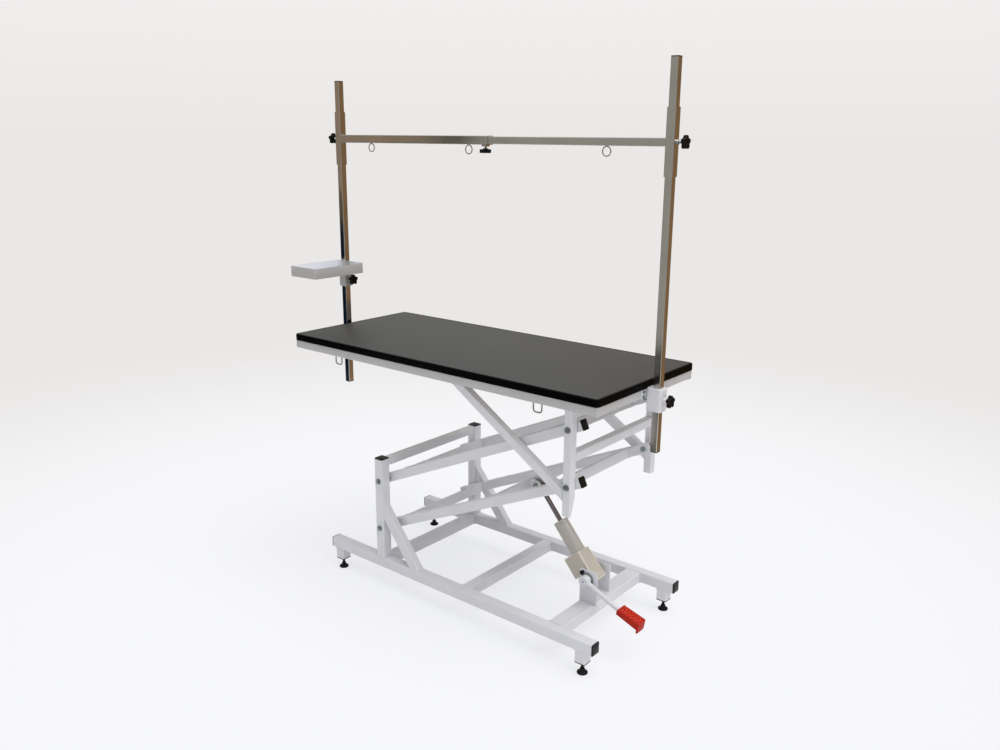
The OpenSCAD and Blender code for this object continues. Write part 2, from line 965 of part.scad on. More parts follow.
module pedal_lever() {
    color("white")
        on_lever() {
            pin_y(-lever_hub_w / 2, lever_hub_w / 2, lever_hub_d);
            pin_y(0, near_plate_y + plate_t - lever_y, lever_shaft_d);
            rotate([0, 90 + lever_angle, 0])
                cylinder(h = lever_l + pedal_l / 2, d = lever_d);
        }
}

// The pedal in its own frame: +X runs along it and its tread is at z = 0
module pedal_pad() {
    color("red")
        on_lever()
            rotate([0, lever_angle, 0])
                translate([lever_l, 0, 0])
                    rotate([0, pedal_slope - lever_angle, 0])
                        translate([0, pedal_shift, pedal_back_t / 2]) {
                            difference() {
                                pedal_extrusion()
                                    polygon([
                                        [0, 0],
                                        [0, -pedal_back_t],
                                        [pedal_l - pedal_lip_t, -pedal_front_t],
                                        [pedal_l - pedal_lip_t / 2, -pedal_lip_h],
                                        [pedal_l + pedal_lip_t, -pedal_lip_h],
                                        [pedal_l, 0]
                                    ]);
                                translate([0, -pedal_shift, -pedal_back_t / 2])
                                    rotate([0, 90 + lever_angle - pedal_slope, 0])
                                        translate([0, 0, -pedal_l])
                                            cylinder(h = 1.5 * pedal_l, d = lever_d);
                            }
                            pedal_ribs();
                        }
}

module pedal_extrusion() {
    translate([0, pedal_w / 2, 0])
        rotate([90, 0, 0])
            linear_extrude(pedal_w)
                children();
}

// Chevrons that point to the pedal's front
module pedal_ribs() {
    pitch = (pedal_l - pedal_w / 2 - 2 * rib_w) / (rib_count - 1);
    for (i = [0 : rib_count - 1])
        translate([rib_w + i * pitch, 0, -1])
            linear_extrude(rib_h + 1)
                polygon([
                    [0, -pedal_w / 2 + rib_w],
                    [rib_w, -pedal_w / 2 + rib_w],
                    [pedal_w / 2, 0],
                    [rib_w, pedal_w / 2 - rib_w],
                    [0, pedal_w / 2 - rib_w],
                    [pedal_w / 2 - rib_w, 0]
                ]);
}

// ---------- posts ----------

module post(x, z) {
    color("silver")
        translate([x, 0, 0])
            tube_z(z, z + post_l, post_tube, post_tube, post_wall, post_corner);
}

module post_cap_pair(x, z) {
    inner = 2 * post_wall + 2 * plug_gap;
    color([0.12, 0.12, 0.12])
        translate([x, 0, 0])
            for (end = [0, 1])
                translate([0, 0, z + end * post_l])
                    rotate([180 * (1 - end), 0, 0]) {
                        linear_extrude(3)
                            outline(post_tube, post_tube, post_corner);
                        translate([0, 0, -plug_l])
                            linear_extrude(plug_l)
                                outline(post_tube - inner, post_tube - inner, 1);
                    }
}

module left_post() { post(post_xs[0], left_post_z); }
module right_post() { post(post_xs[1], right_post_z); }
module left_post_caps() { post_cap_pair(post_xs[0], left_post_z); }
module right_post_caps() { post_cap_pair(post_xs[1], right_post_z); }

// ---------- bar ----------

// Each sleeve carries a welded nut for its knob
module bar_sleeves() {
    color("silver")
        for (side = [-1, 1])
            translate([side * post_xs[1], 0, bar_z])
                difference() {
                    union() {
                        tube_z(-sleeve_l / 2, sleeve_l / 2, sleeve_side, sleeve_side, tube_wall, post_corner);
                        rotate([0, side * 90, 0])
                            weld_nut(sleeve_side / 2);
                    }
                    rotate([0, side * 90, 0])
                        cylinder(h = 2 * sleeve_side, d = knob_screw_d + 2 * run_gap);
                }
}

module weld_nut(face) {
    translate([0, 0, face - 1])
        cylinder(h = weld_nut_t + 1, d = 1.8 * knob_screw_d, $fn = 6);
}

module bar_outer_tube() {
    color("silver")
        translate([0, 0, bar_z])
            difference() {
                tube_x(-bar_half, bar_joint_x, sleeve_side, sleeve_side, tube_wall, post_corner);
                translate([bar_joint_x - clamp_in, 0, -sleeve_side])
                    cylinder(h = sleeve_side, d = knob_screw_d + 2 * run_gap);
            }
}

clamp_in = 20;
clamp_side = 20;
clamp_t = 6;

module bar_inner_tube() {
    color("silver")
        translate([0, 0, bar_z])
            tube_x(bar_joint_x - bar_overlap, bar_half, post_tube, post_tube, post_wall, post_corner);
}

module bar_rings() {
    color("silver")
        for (x = ring_xs)
            translate([x, 0, bar_z - (x < bar_joint_x ? sleeve_side : post_tube) / 2 - ring_d / 2])
                rotate([90, 0, 0])
                    rotate_extrude()
                        translate([(ring_d - ring_wire) / 2, 0])
                            circle(d = ring_wire, $fn = 24);
}

module bar_clamp_block() {
    color("silver")
        translate([bar_joint_x - clamp_in, 0, bar_z - sleeve_side / 2 - clamp_t])
            difference() {
                translate([-clamp_side / 2, -clamp_side / 2, 0])
                    cube([clamp_side, clamp_side, clamp_t]);
                translate([0, 0, -1])
                    cylinder(h = clamp_t + 2, d = knob_screw_d + 2 * run_gap);
            }
}

// ---------- tray ----------

module tray() {
    color("lightgrey")
        translate([post_xs[0], tray_l / 2 - tray_front, tray_floor])
            difference() {
                linear_extrude(tray_h)
                    outline(tray_w, tray_l, 2 * corner);
                translate([0, 0, tray_wall])
                    linear_extrude(tray_h)
                        outline(tray_w - 2 * tray_wall, tray_l - 2 * tray_wall, 2 * corner - tray_wall);
                translate([0, tray_front - tray_l / 2, -1])
                    linear_extrude(tray_h)
                        outline(sleeve_in, sleeve_in, post_corner);
            }
}

module tray_collar() {
    color("lightgrey")
        translate([post_xs[0], 0, tray_floor - collar_h])
            difference() {
                union() {
                    linear_extrude(collar_h)
                        outline(collar_side, collar_side, corner);
                    translate([0, 0, collar_h / 2])
                        rotate([0, 90, 0])
                            weld_nut(collar_side / 2);
                }
                translate([0, 0, -1])
                    linear_extrude(collar_h + 2)
                        outline(sleeve_in, sleeve_in, post_corner);
                translate([0, 0, collar_h / 2])
                    rotate([0, 90, 0])
                        cylinder(h = 2 * collar_side, d = knob_screw_d + 2 * run_gap);
            }
}

// ---------- star knobs ----------

// A knob on +Z: its screw's tip is at z = tip and its near face at z = out
module star_knob(tip, out) {
    scallop = 0.42 * knob_d;
    color("black") {
        difference() {
            translate([0, 0, out])
                cylinder(h = knob_t, d = knob_d);
            for (i = [0 : knob_lobes - 1])
                rotate([0, 0, 360 * i / knob_lobes])
                    translate([knob_d / 2 + scallop / 6, 0, out - 1])
                        cylinder(h = knob_t + 2, d = scallop);
        }
        translate([0, 0, out - knob_neck_h])
            cylinder(h = knob_neck_h, d = knob_neck_d);
        translate([0, 0, tip])
            cylinder(h = out - tip + 1, d = knob_screw_d);
    }
}

module post_knob(x, side, z) {
    translate([x, 0, z])
        rotate([0, side * 90, 0])
            star_knob(knob_tip, knob_out);
}

module left_bracket_knob() { post_knob(post_xs[0], -1, socket_z); }
module right_bracket_knob() { post_knob(post_xs[1], 1, socket_z); }
module left_sleeve_knob() { post_knob(post_xs[0], -1, bar_z); }
module right_sleeve_knob() { post_knob(post_xs[1], 1, bar_z); }
module tray_knob() { post_knob(post_xs[0], 1, tray_floor - collar_h / 2); }

module bar_knob() {
    translate([bar_joint_x - clamp_in, 0, bar_z])
        rotate([180, 0, 0])
            star_knob(knob_tip, sleeve_side / 2 + clamp_t + knob_neck_h + 6);
}

base_rails();
foot_stubs();
uprights();
upright_cross_tube();
base_braces();
base_cross_members();
pump_cross_member();
pump_plates();
base_end_caps();
base_pivot_bolts();
base_pivot_spacers();
pump_fasteners();
front_left_foot();
front_right_foot();
rear_left_foot();
rear_right_foot();
front_lower_arm();
rear_lower_arm();
lower_arm_cross_tubes();
rod_bracket();
rod_pin();
lower_arm_caps();
front_upper_arm();
rear_upper_arm();
upper_arm_cross_tubes();
upper_arm_caps();
frame_long_tubes();
frame_cross_tubes();
hangers();
hanger_cross_tube();
table_braces();
tabletop_board();
rubber_mat();
edge_trim();
leash_loops();
post_brackets();
bracket_bolts();
hanger_pivot_bolts();
pump_barrel();
pump_block();
piston_rod();
pedal_lever();
pedal_pad();
left_post();
right_post();
left_post_caps();
right_post_caps();
bar_sleeves();
bar_outer_tube();
bar_inner_tube();
bar_rings();
bar_clamp_block();
tray();
tray_collar();
left_bracket_knob();
right_bracket_knob();
left_sleeve_knob();
right_sleeve_knob();
bar_knob();
tray_knob();
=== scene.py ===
"""Grooming table: the finished look of each piece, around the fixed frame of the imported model."""

import json
import math

import bmesh
import bpy
from bpy.props import FloatProperty, FloatVectorProperty, IntProperty, PointerProperty
from bpy.types import NodeSocket, Operator, Panel, PropertyGroup
from mathutils import Matrix, Vector


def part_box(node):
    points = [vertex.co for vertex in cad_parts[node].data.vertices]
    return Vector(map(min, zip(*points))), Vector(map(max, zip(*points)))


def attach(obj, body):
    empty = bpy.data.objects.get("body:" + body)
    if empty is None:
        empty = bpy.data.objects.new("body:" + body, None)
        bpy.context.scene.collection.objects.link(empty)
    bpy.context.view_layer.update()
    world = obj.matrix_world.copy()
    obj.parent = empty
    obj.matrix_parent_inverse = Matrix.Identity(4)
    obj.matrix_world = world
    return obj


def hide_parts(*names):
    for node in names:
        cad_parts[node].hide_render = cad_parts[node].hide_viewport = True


bl_info = {
    "name": "Grooming Table",
    "version": (1, 0, 0),
    "blender": (4, 5, 0),
    "location": "3D View > Sidebar > Grooming Table",
    "description": "Builds a hydraulic grooming table's visible pieces and its studio",
    "category": "Object",
}

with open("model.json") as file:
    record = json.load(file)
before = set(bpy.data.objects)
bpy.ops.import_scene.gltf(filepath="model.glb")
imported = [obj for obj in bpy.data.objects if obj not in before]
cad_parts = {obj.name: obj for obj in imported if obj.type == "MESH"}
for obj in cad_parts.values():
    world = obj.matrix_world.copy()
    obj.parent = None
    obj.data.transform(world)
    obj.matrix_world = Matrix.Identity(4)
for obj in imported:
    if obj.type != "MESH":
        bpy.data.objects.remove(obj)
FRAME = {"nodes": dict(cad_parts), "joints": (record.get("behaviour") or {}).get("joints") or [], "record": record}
NODES = FRAME["nodes"]
JOINTS = {joint["name"]: joint for joint in FRAME["joints"]}
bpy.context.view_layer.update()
MM = 0.001
MIX_A, MIX_B, MIX_OUT = 6, 7, 2  # the colour sockets of a Mix node
TINY = 1e-6  # nearer than this is the same place
SHARP = math.radians(35)
TURN_STEPS = 48
BOLT_RADIUS = 4.95 * MM
BOLT_ACROSS = 9.8 * MM  # from the middle of a bolt's head or nut to a corner
NUT_HEIGHT = 8 * MM
ARM_SIZE = (30 * MM, 35 * MM)  # across the table, and upright
LEVER_SLOPE = math.radians(23.5)
TREAD_SLOPE = math.radians(16)
LEVER_LENGTH = 152 * MM


def linear(text):
    """A colour written as sRGB hex, as linear red, green, blue and alpha."""
    values = [int(text[i : i + 2], 16) / 255 for i in (1, 3, 5)]
    curve = [v / 12.92 if v <= 0.04045 else ((v + 0.055) / 1.055) ** 2.4 for v in values]
    return (*curve, 1.0)


def colour(name, description, text):
    return FloatVectorProperty(
        name=name,
        description=description,
        subtype="COLOR",
        size=4,
        min=0,
        max=1,
        default=linear(text),
    )


def length(name, description, default):
    return FloatProperty(name=name, description=description, unit="LENGTH", min=0, default=default)


class GroomingColours(PropertyGroup):
    powder_coat: colour("Powder coat", "Paint on the steel frame", "#DDDEE2")
    # painted shade: a greyer copy of the powder coat for the frame in the shade of the board
    frame_coat: colour("Frame coat", "Paint on the frame under the board", "#BCBBBB")
    stainless: colour("Stainless", "Posts, sleeves and bar", "#C4C1BB")
    bright_wire: colour("Bright wire", "Leash loops and rings", "#A8A8AA")
    zinc: colour("Zinc plate", "Pivot bolts, nuts and spacers", "#9DA8A8")
    black_steel: colour("Black oxide", "Pump fasteners", "#262728")
    plug_black: colour("Plug black", "Moulded end plugs", "#08090A")
    plug_face: colour("Plug face", "Recessed middle of an end plug", "#232625")
    knob_black: colour("Knob black", "Star knobs", "#070708")
    foot_black: colour("Foot black", "Levelling feet", "#0B0B0C")
    edging_black: colour("Edging black", "Edging round the table top", "#030303")
    mat_grey: colour("Mat grey", "Rubber table mat", "#242626")
    plywood: colour("Plywood", "Underside of the board", "#D8CFC0")
    barrel_grey: colour("Barrel grey", "Pump barrel", "#B7B3AA")
    block_grey: colour("Block grey", "Pump block", "#C6BEB1")
    # painted highlight: a paler copy of the block's paint for the light caught along its edges
    block_edges: colour("Block edges", "Edges of the pump block, where the paint is thin", "#EAE5DC")
    rod_steel: colour("Rod steel", "Chromed piston rod", "#8F8C93")
    pedal_red: colour("Pedal red", "Pedal pad", "#B0210F")
    # painted highlight: a lighter copy of the pedal's red for the lit ribs, against the shaded grooves between
    # them
    pedal_rib: colour("Pedal rib", "Ribs of the pedal pad, polished by shoes", "#DE3A22")
    tray_grey: colour("Tray grey", "Outside of the tool tray, and its collar", "#B4B3B0")
    # painted light: a paler copy of the tray's enamel for its inside, lit from above
    tray_inside: colour("Tray inside", "Inside of the tool tray", "#EEF0F6")
    floor: colour("Floor", "Studio floor", "#F6F6F7")


class GroomingSizes(PropertyGroup):
    knob_head: length("Knob head", "Thickness of a star knob's head", 13 * MM)
    knob_lobe: length("Knob lobe", "Depth between two lobes of a star knob", 5.6 * MM)
    knob_lobes: IntProperty(name="Knob lobes", description="Lobes on a star knob", default=5, min=3, max=9)
    thread_pitch: length("Thread pitch", "Distance between screw threads", 1.5 * MM)
    plug_plate: length("Plug plate", "Thickness of an end plug's plate", 4 * MM)
    plug_rim: length("Plug rim", "Width of the rim round an end plug's recess", 5 * MM)
    bolt_head: length("Bolt head", "Height of a pivot bolt's head", 6.5 * MM)
    weld_bead: length("Weld bead", "Radius of a weld bead", 2.2 * MM)
    weld_ripple: length("Weld ripple", "Distance between a weld bead's ripples", 3 * MM)
    cast_edge: length("Cast edge", "Radius on the edges of the sockets", 3 * MM)
    plate_edge: length("Plate edge", "Radius on the edges of plates and the tray", 0.7 * MM)
    block_edge: length("Block edge", "Radius on the edges of the pump block", 3 * MM)
    edging_edge: length("Edging edge", "Radius on the edges of the table's edging", 5 * MM)
    pedal_edge: length("Pedal edge", "Radius on the edges of the pedal", 1.6 * MM)
    camera_lens: FloatProperty(name="Lens", description="Focal length in millimetres", default=32.1, min=10)


def colours():
    return bpy.context.scene.grooming_colours


def sizes():
    return bpy.context.scene.grooming_sizes


# ---------- materials ----------


def add(tree, kind, links=None, **settings):
    """A shader node with its settings, and its inputs linked or set."""
    made = tree.nodes.new("ShaderNode" + kind)
    for key, value in settings.items():
        setattr(made, key, value)
    for key, value in (links or {}).items():
        if isinstance(value, NodeSocket):
            tree.links.new(value, made.inputs[key])
        else:
            made.inputs[key].default_value = value
    return made


def new_material(name):
    """An empty material, its node tree and the object's own coordinates in it."""
    made = bpy.data.materials.new(name)
    made.use_nodes = True
    tree = made.node_tree
    tree.nodes.clear()
    return made, tree, add(tree, "TexCoord").outputs["Object"]


def shade(tint, factor):
    """A colour made lighter or darker by a factor."""
    return (*[min(1, c * factor) for c in tint[:3]], 1.0)


def noise(tree, place, scale, detail, **more):
    return add(tree, "TexNoise", {"Vector": place, "Scale": scale, "Detail": detail, **more}).outputs["Fac"]


def mix(tree, share, one, other):
    """A colour between two others."""
    return add(tree, "Mix", {0: share, MIX_A: one, MIX_B: other}, data_type="RGBA").outputs[MIX_OUT]


def mapped(tree, value, low, high, start=0.0, end=1.0, **settings):
    """A value between low and high, brought to between start and end."""
    links = {"Value": value, "From Min": low, "From Max": high, "To Min": start, "To Max": end}
    return add(tree, "MapRange", links, **settings).outputs["Result"]


def relief(tree, height, strength, depth, **settings):
    links = {"Height": height, "Strength": strength, "Distance": depth}
    return add(tree, "Bump", links, **settings).outputs["Normal"]


def surface(tree, tint, roughness, normal, **more):
    """Ends a material in a surface, whose further inputs are named with underscores for spaces."""
    links = {"Base Color": tint, "Roughness": roughness, "Normal": normal}
    links.update({key.replace("_", " "): value for key, value in more.items()})
    add(tree, "OutputMaterial", {"Surface": add(tree, "BsdfPrincipled", links).outputs["BSDF"]})


def glow(tree, tone):
    return add(tree, "Emission", {"Color": tone, "Strength": 1.0}).outputs[0]


def painted(name, tint, roughness, peel=1.4 * MM, peel_depth=0.03 * MM, coat=0.0):
    """Sprayed paint: even colour with a faint cloudiness, and the small waves called orange peel."""
    made, tree, place = new_material(name)
    cloud = noise(tree, place, 9, 3)
    body = mix(tree, cloud, shade(tint, 0.93), shade(tint, 1.05))
    # the real peel is about 1 mm across; it is drawn slightly coarser, to show
    waves = noise(tree, place, 1 / peel, 2)
    gloss = mapped(tree, cloud, 0, 1, roughness - 0.05, roughness + 0.06)
    surface(tree, body, gloss, relief(tree, waves, 0.35, peel_depth), IOR=1.5, Coat_Weight=coat)
    return made


def drawn_metal(name, tint, roughness, along, line=0.9 * MM, contrast=0.16):
    """Polished tube: a metal that shows its surroundings, with fine lines along the way it was drawn."""
    made, tree, place = new_material(name)
    stretch = [1 / line] * 3
    stretch["XYZ".index(along)] = 1.2
    lay = add(tree, "Mapping", {"Vector": place, "Scale": stretch}).outputs["Vector"]
    lines = noise(tree, lay, 1, 3)
    stain = noise(tree, place, 7, 4)
    both = add(tree, "Math", {0: lines, 1: stain}, operation="ADD").outputs[0]
    share = mapped(tree, both, 0.6, 1.4)
    body = mix(tree, share, shade(tint, 1 - contrast), shade(tint, 1 + contrast / 2))
    gloss = mapped(tree, both, 0.6, 1.4, roughness * 0.8, roughness * 1.3)
    surface(tree, body, gloss, relief(tree, lines, 0.12, 0.02 * MM), Metallic=1.0)
    return made


def moulded(name, tint, roughness, grain=0.8 * MM, depth=0.05 * MM, spread=0.2, shine=0.5):
    """Moulded plastic or rubber: a fine even texture from the mould, and a little wear in its gloss."""
    made, tree, place = new_material(name)
    pits = noise(tree, place, 1 / grain, 2)
    wear = noise(tree, place, 14, 5)
    body = mix(tree, wear, shade(tint, 1 - spread), shade(tint, 1 + spread))
    gloss = mapped(tree, wear, 0, 1, roughness - 0.08, roughness + 0.1)
    normal = relief(tree, pits, 0.5, depth)
    surface(tree, body, gloss, normal, IOR=1.47, Specular_IOR_Level=shine)
    return made


def pebbled_rubber(name, tint):
    """Anti-slip sheet rubber: small raised pebbles, dull on top, with scuffs where animals have stood."""
    made, tree, place = new_material(name)
    # real pebbles are about 2 mm across; 3 mm lets them show
    pebbles = add(tree, "TexVoronoi", {"Vector": place, "Scale": 1 / (3 * MM)}, feature="SMOOTH_F1")
    scuffs = noise(tree, place, 6, 6, Roughness=0.62)
    specks = noise(tree, place, 120, 2)
    worn = mapped(tree, scuffs, 0.3, 0.7)
    body = mix(tree, worn, shade(tint, 0.86), shade(tint, 1.12))
    dots = mapped(tree, specks, 0.35, 0.6, 0.25)
    speckled = mix(tree, dots, shade(tint, 0.72), body)
    normal = relief(tree, pebbles.outputs["Distance"], 0.5, 0.3 * MM, invert=True)
    surface(tree, speckled, 0.52, normal, IOR=1.5, Specular_IOR_Level=0.84)
    return made


def plywood_face(name, tint):
    """Sealed birch plywood: long flowing grain bands about 12 mm apart."""
    made, tree, place = new_material(name)
    lay = add(tree, "Mapping", {"Vector": place, "Scale": (1.2, 14, 14)}).outputs["Vector"]
    bands = add(tree, "TexWave", {"Vector": lay, "Scale": 0.9, "Distortion": 9, "Detail": 3})
    grain = mix(tree, bands.outputs["Fac"], shade(tint, 0.8), shade(tint, 1.08))
    surface(tree, grain, 0.5, relief(tree, noise(tree, lay, 30, 3), 0.2, 0.05 * MM))
    return made


MATERIALS = {}


def make_materials():
    tint = colours()
    MATERIALS.update(
        # polyester powder coat on mild steel: near-white, semi-gloss
        powder_coat=painted("powder_coat", tint.powder_coat, 0.38),
        # the same coat as a greyer copy on the frame under the board: painted shade from the board's overhang
        frame_coat=painted("frame_coat", tint.frame_coat, 0.42),
        # 304 stainless, polished after drawing: shows its surroundings softly
        stainless_upright=drawn_metal("stainless_upright", tint.stainless, 0.14, "Z"),
        stainless_level=drawn_metal("stainless_level", tint.stainless, 0.15, "X"),
        bright_wire=drawn_metal("bright_wire", tint.bright_wire, 0.28, "X", line=1.2 * MM),
        # bright zinc passivate: a cool, slightly green metal with cloudy patches
        zinc_plate=drawn_metal("zinc_plate", tint.zinc, 0.32, "Y", line=2 * MM, contrast=0.3),
        black_oxide=drawn_metal("black_oxide", tint.black_steel, 0.38, "Y", line=2 * MM, contrast=0.3),
        # low-density polyethylene plugs: soft sheen, light mould grain
        plug_black=moulded("plug_black", tint.plug_black, 0.42, shine=0.25),
        plug_face=moulded("plug_face", tint.plug_face, 0.5, grain=1.2 * MM),
        # glass-filled nylon knobs: matt with a fine spark-eroded texture
        knob_black=moulded("knob_black", tint.knob_black, 0.45, grain=0.6 * MM, shine=0.2),
        foot_black=moulded("foot_black", tint.foot_black, 0.45, shine=0.25),
        # extruded vinyl edging: smooth, with a soft line of light on its corner
        edging_black=moulded(
            "edging_black", tint.edging_black, 0.4, grain=3 * MM, depth=0.03 * MM, shine=0.04
        ),
        mat_rubber=pebbled_rubber("mat_rubber", tint.mat_grey),
        plywood=plywood_face("plywood", tint.plywood),
        barrel_enamel=painted("barrel_enamel", tint.barrel_grey, 0.3, peel=2 * MM, coat=0.3),
        block_enamel=painted("block_enamel", tint.block_grey, 0.42, peel=2.2 * MM, peel_depth=0.08 * MM),
        # the same paint, paler along the block's edges: a painted highlight where the edges catch the light
        block_edges=painted("block_edges", tint.block_edges, 0.3, coat=0.4),
        # hard-chromed and ground rod: bright lines round it
        rod_chrome=drawn_metal("rod_chrome", tint.rod_steel, 0.16, "Y", line=1 * MM, contrast=0.2),
        pedal_red=moulded("pedal_red", tint.pedal_red, 0.5, grain=1.1 * MM, spread=0.1, shine=0.2),
        # a lighter, glossier copy of the pad's red for the ribs: the lighter colour is a painted highlight
        pedal_rib=moulded("pedal_rib", tint.pedal_rib, 0.38, grain=1.1 * MM, spread=0.1, shine=0.4),
        tray_enamel=painted("tray_enamel", tint.tray_grey, 0.4, peel=1.8 * MM),
        # the same enamel, paler and smoother inside the tray: the paler colour is painted light falling in from
        # above
        tray_inside=painted("tray_inside", tint.tray_inside, 0.22, peel=1.8 * MM, coat=0.4),
    )


KEPT_NODES = {
    "powder_coat": [
        "base_rails", "foot_stubs", "uprights", "upright_cross_tube", "base_braces",
        "base_cross_members", "pump_cross_member", "front_lower_arm", "rear_lower_arm",
        "lower_arm_cross_tubes", "front_upper_arm", "rear_upper_arm",
        "upper_arm_cross_tubes", "hangers", "hanger_cross_tube", "table_braces",
    ],
    "frame_coat": ["frame_long_tubes", "frame_cross_tubes"],
    "stainless_upright": ["left_post", "right_post", "bar_sleeves"],
    "stainless_level": ["bar_outer_tube", "bar_inner_tube"],
    "plywood": ["tabletop_board"],
}  # fmt: skip


# ---------- shapes ----------


def placed(name, data):
    """A new object in the scene."""
    made = bpy.data.objects.new(name, data)
    bpy.context.scene.collection.objects.link(made)
    return made


def as_mesh(bm, name):
    mesh = bpy.data.meshes.new(name)
    bm.to_mesh(mesh)
    bm.free()
    return mesh


def evaluated(piece):
    """A mesh of an object as its modifiers, or its curve's bevel, make it."""
    graph = bpy.context.evaluated_depsgraph_get()
    return bpy.data.meshes.new_from_object(piece.evaluated_get(graph))


def finish_piece(bm, name, material, body, stands_for=(), more_materials=(), outward=True):
    """Makes the shape an object that rides on a body and stands for its CAD nodes."""
    bmesh.ops.remove_doubles(bm, verts=bm.verts, dist=TINY)
    if outward:
        bmesh.ops.recalc_face_normals(bm, faces=bm.faces)
    mesh = as_mesh(bm, name)
    mesh.polygons.foreach_set("use_smooth", [True] * len(mesh.polygons))
    mesh.set_sharp_from_angle(angle=SHARP)
    for key in (material, *more_materials):
        mesh.materials.append(MATERIALS[key])
    piece = placed(name, mesh)
    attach(piece, body)
    if stands_for:
        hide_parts(*stands_for)
    return piece


def unique(things):
    """The things without repeats, in the order in which they first come."""
    return list(dict.fromkeys(things))


def level(edge):
    return abs(edge.verts[0].co.z - edge.verts[1].co.z) < TINY


def second_material(bm, start):
    """Gives the faces from the start on, in the order made, the piece's second material."""
    bm.faces.ensure_lookup_table()
    for face in bm.faces[start:]:
        face.material_index = 1


def extruded(bm, face, way):
    """Extrudes a face, and returns the copy at the far end."""
    grown = bmesh.ops.extrude_face_region(bm, geom=[face])["geom"]
    bmesh.ops.translate(bm, vec=way, verts=[g for g in grown if isinstance(g, bmesh.types.BMVert)])
    return next(g for g in grown if isinstance(g, bmesh.types.BMFace))


def turned(bm, profile, place, steps=TURN_STEPS):
    """Turns a profile of (radius, height) points about the place's Z axis."""
    points = [bm.verts.new((radius, 0, height)) for radius, height in profile]
    edges = [bm.edges.new(pair) for pair in zip(points, points[1:])]
    made = bmesh.ops.spin(
        bm,
        geom=points + edges,
        cent=(0, 0, 0),
        axis=(0, 0, 1),
        dvec=(0, 0, 0),
        angle=2 * math.pi,
        steps=steps,
        use_merge=True,
        use_duplicate=False,
    )
    ends = [g for g in made["geom_last"] if isinstance(g, bmesh.types.BMVert)]
    reach = dict.fromkeys([*points, *ends])
    todo = list(reach)
    while todo:
        for edge in todo.pop().link_edges:
            for vert in edge.verts:
                if vert not in reach:
                    reach[vert] = None
                    todo.append(vert)
    bmesh.ops.transform(bm, matrix=place, verts=list(reach))
    bmesh.ops.remove_doubles(bm, verts=list(reach), dist=TINY)


def rounded(bm, edges, radius, segments=3):
    """Rounds edges, and returns what bevelling them made."""
    return bmesh.ops.bevel(
        bm,
        geom=edges,
        offset=radius,
        offset_type="OFFSET",
        affect="EDGES",
        segments=segments,
        profile=0.5,
        material=-1,
        clamp_overlap=True,
    )


def prism(bm, sides, radius, low, high, place, edge=0.0, turn=0.0):
    """A prism along the place's Z axis, with rounded rims."""
    made = bmesh.ops.create_cone(
        bm,
        cap_ends=True,
        segments=sides,
        radius1=radius,
        radius2=radius,
        depth=high - low,
        matrix=place @ Matrix.Translation((0, 0, (low + high) / 2)) @ Matrix.Rotation(turn, 4, "Z"),
    )
    if edge:
        caps = unique(f for v in made["verts"] for f in v.link_faces if len(f.verts) == sides)
        rounded(bm, unique(e for f in caps for e in f.edges), edge, 2)


def slab(bm, size, place, corner=0.0, edge=0.0):
    """A box with its upright corners rounded, and then its rims. Returns its faces."""
    made = bmesh.ops.create_cube(bm, size=1, matrix=Matrix.Diagonal((*size, 1)))
    verts = made["verts"]
    if corner:
        upright = unique(e for v in verts for e in v.link_edges if not level(e))
        made = rounded(bm, upright, corner, 4)
        bevelled = [v for f in made["faces"] for v in f.verts]
        verts = unique([*bevelled, *(v for v in verts if v.is_valid)])
    faces = unique(f for v in verts for f in v.link_faces)
    if edge:
        rims = unique(e for f in faces for e in f.edges if level(e) and len(e.link_faces) == 2)
        made = rounded(bm, rims, edge, 2)
        faces = unique([*(f for f in faces if f.is_valid), *made["faces"]])
    bmesh.ops.transform(bm, matrix=place, verts=unique(v for f in faces for v in f.verts))
    return faces


def solids(node):
    """The boxes (low, high) of a CAD node's separate solids, in order of their low corners."""
    bm = bmesh.new()
    bm.from_mesh(NODES[node].data)
    bmesh.ops.remove_doubles(bm, verts=bm.verts, dist=TINY)
    found, left = [], set(bm.verts)
    while left:
        todo = [left.pop()]
        points = []
        while todo:
            vert = todo.pop()
            points.append(vert.co.copy())
            for edge in vert.link_edges:
                other = edge.other_vert(vert)
                if other in left:
                    left.discard(other)
                    todo.append(other)
        low = Vector([min(p[k] for p in points) for k in range(3)])
        high = Vector([max(p[k] for p in points) for k in range(3)])
        found.append((low, high))
    bm.free()
    return sorted(found, key=lambda b: [round(c, 5) for c in b[0]])


def soften(node, material, body, *steps, name=None):
    """A merged copy of a CAD node with some outside edges rounded, which stands for the node.

    Each step is a radius, a number of segments and a test of an edge, or None for all sharp edges.
    """
    bm = bmesh.new()
    bm.from_mesh(NODES[node].data)
    bmesh.ops.remove_doubles(bm, verts=bm.verts, dist=TINY)
    bmesh.ops.dissolve_limit(bm, angle_limit=math.radians(0.3), verts=bm.verts, edges=bm.edges)
    for radius, segments, pick in steps:
        sharp = [
            e for e in bm.edges
            if len(e.link_faces) == 2 and e.is_convex and e.calc_face_angle(0) > SHARP
            and (pick is None or pick(e))
        ]  # fmt: skip
        rounded(bm, sharp, radius, segments)
    return finish_piece(bm, name or node + "_finished", material, body, [node], outward=False)


def cut(piece, bm):
    """Joins a piece's overlapping solids into one, and takes the given shape out of it."""
    cutter = placed("cutter", as_mesh(bm, "cutter"))
    step = piece.modifiers.new("cut", "BOOLEAN")
    step.operation, step.solver, step.object, step.use_self = "DIFFERENCE", "EXACT", cutter, True
    made = evaluated(piece)
    piece.modifiers.clear()
    piece.data = made
    made.set_sharp_from_angle(angle=SHARP)
    bpy.data.objects.remove(cutter)


def towards(point, axis):
    """A matrix at a point, with its Z axis along the given axis."""
    turn = Vector((0, 0, 1)).rotation_difference(Vector(axis))
    return Matrix.Translation(Vector(point)) @ turn.to_matrix().to_4x4()


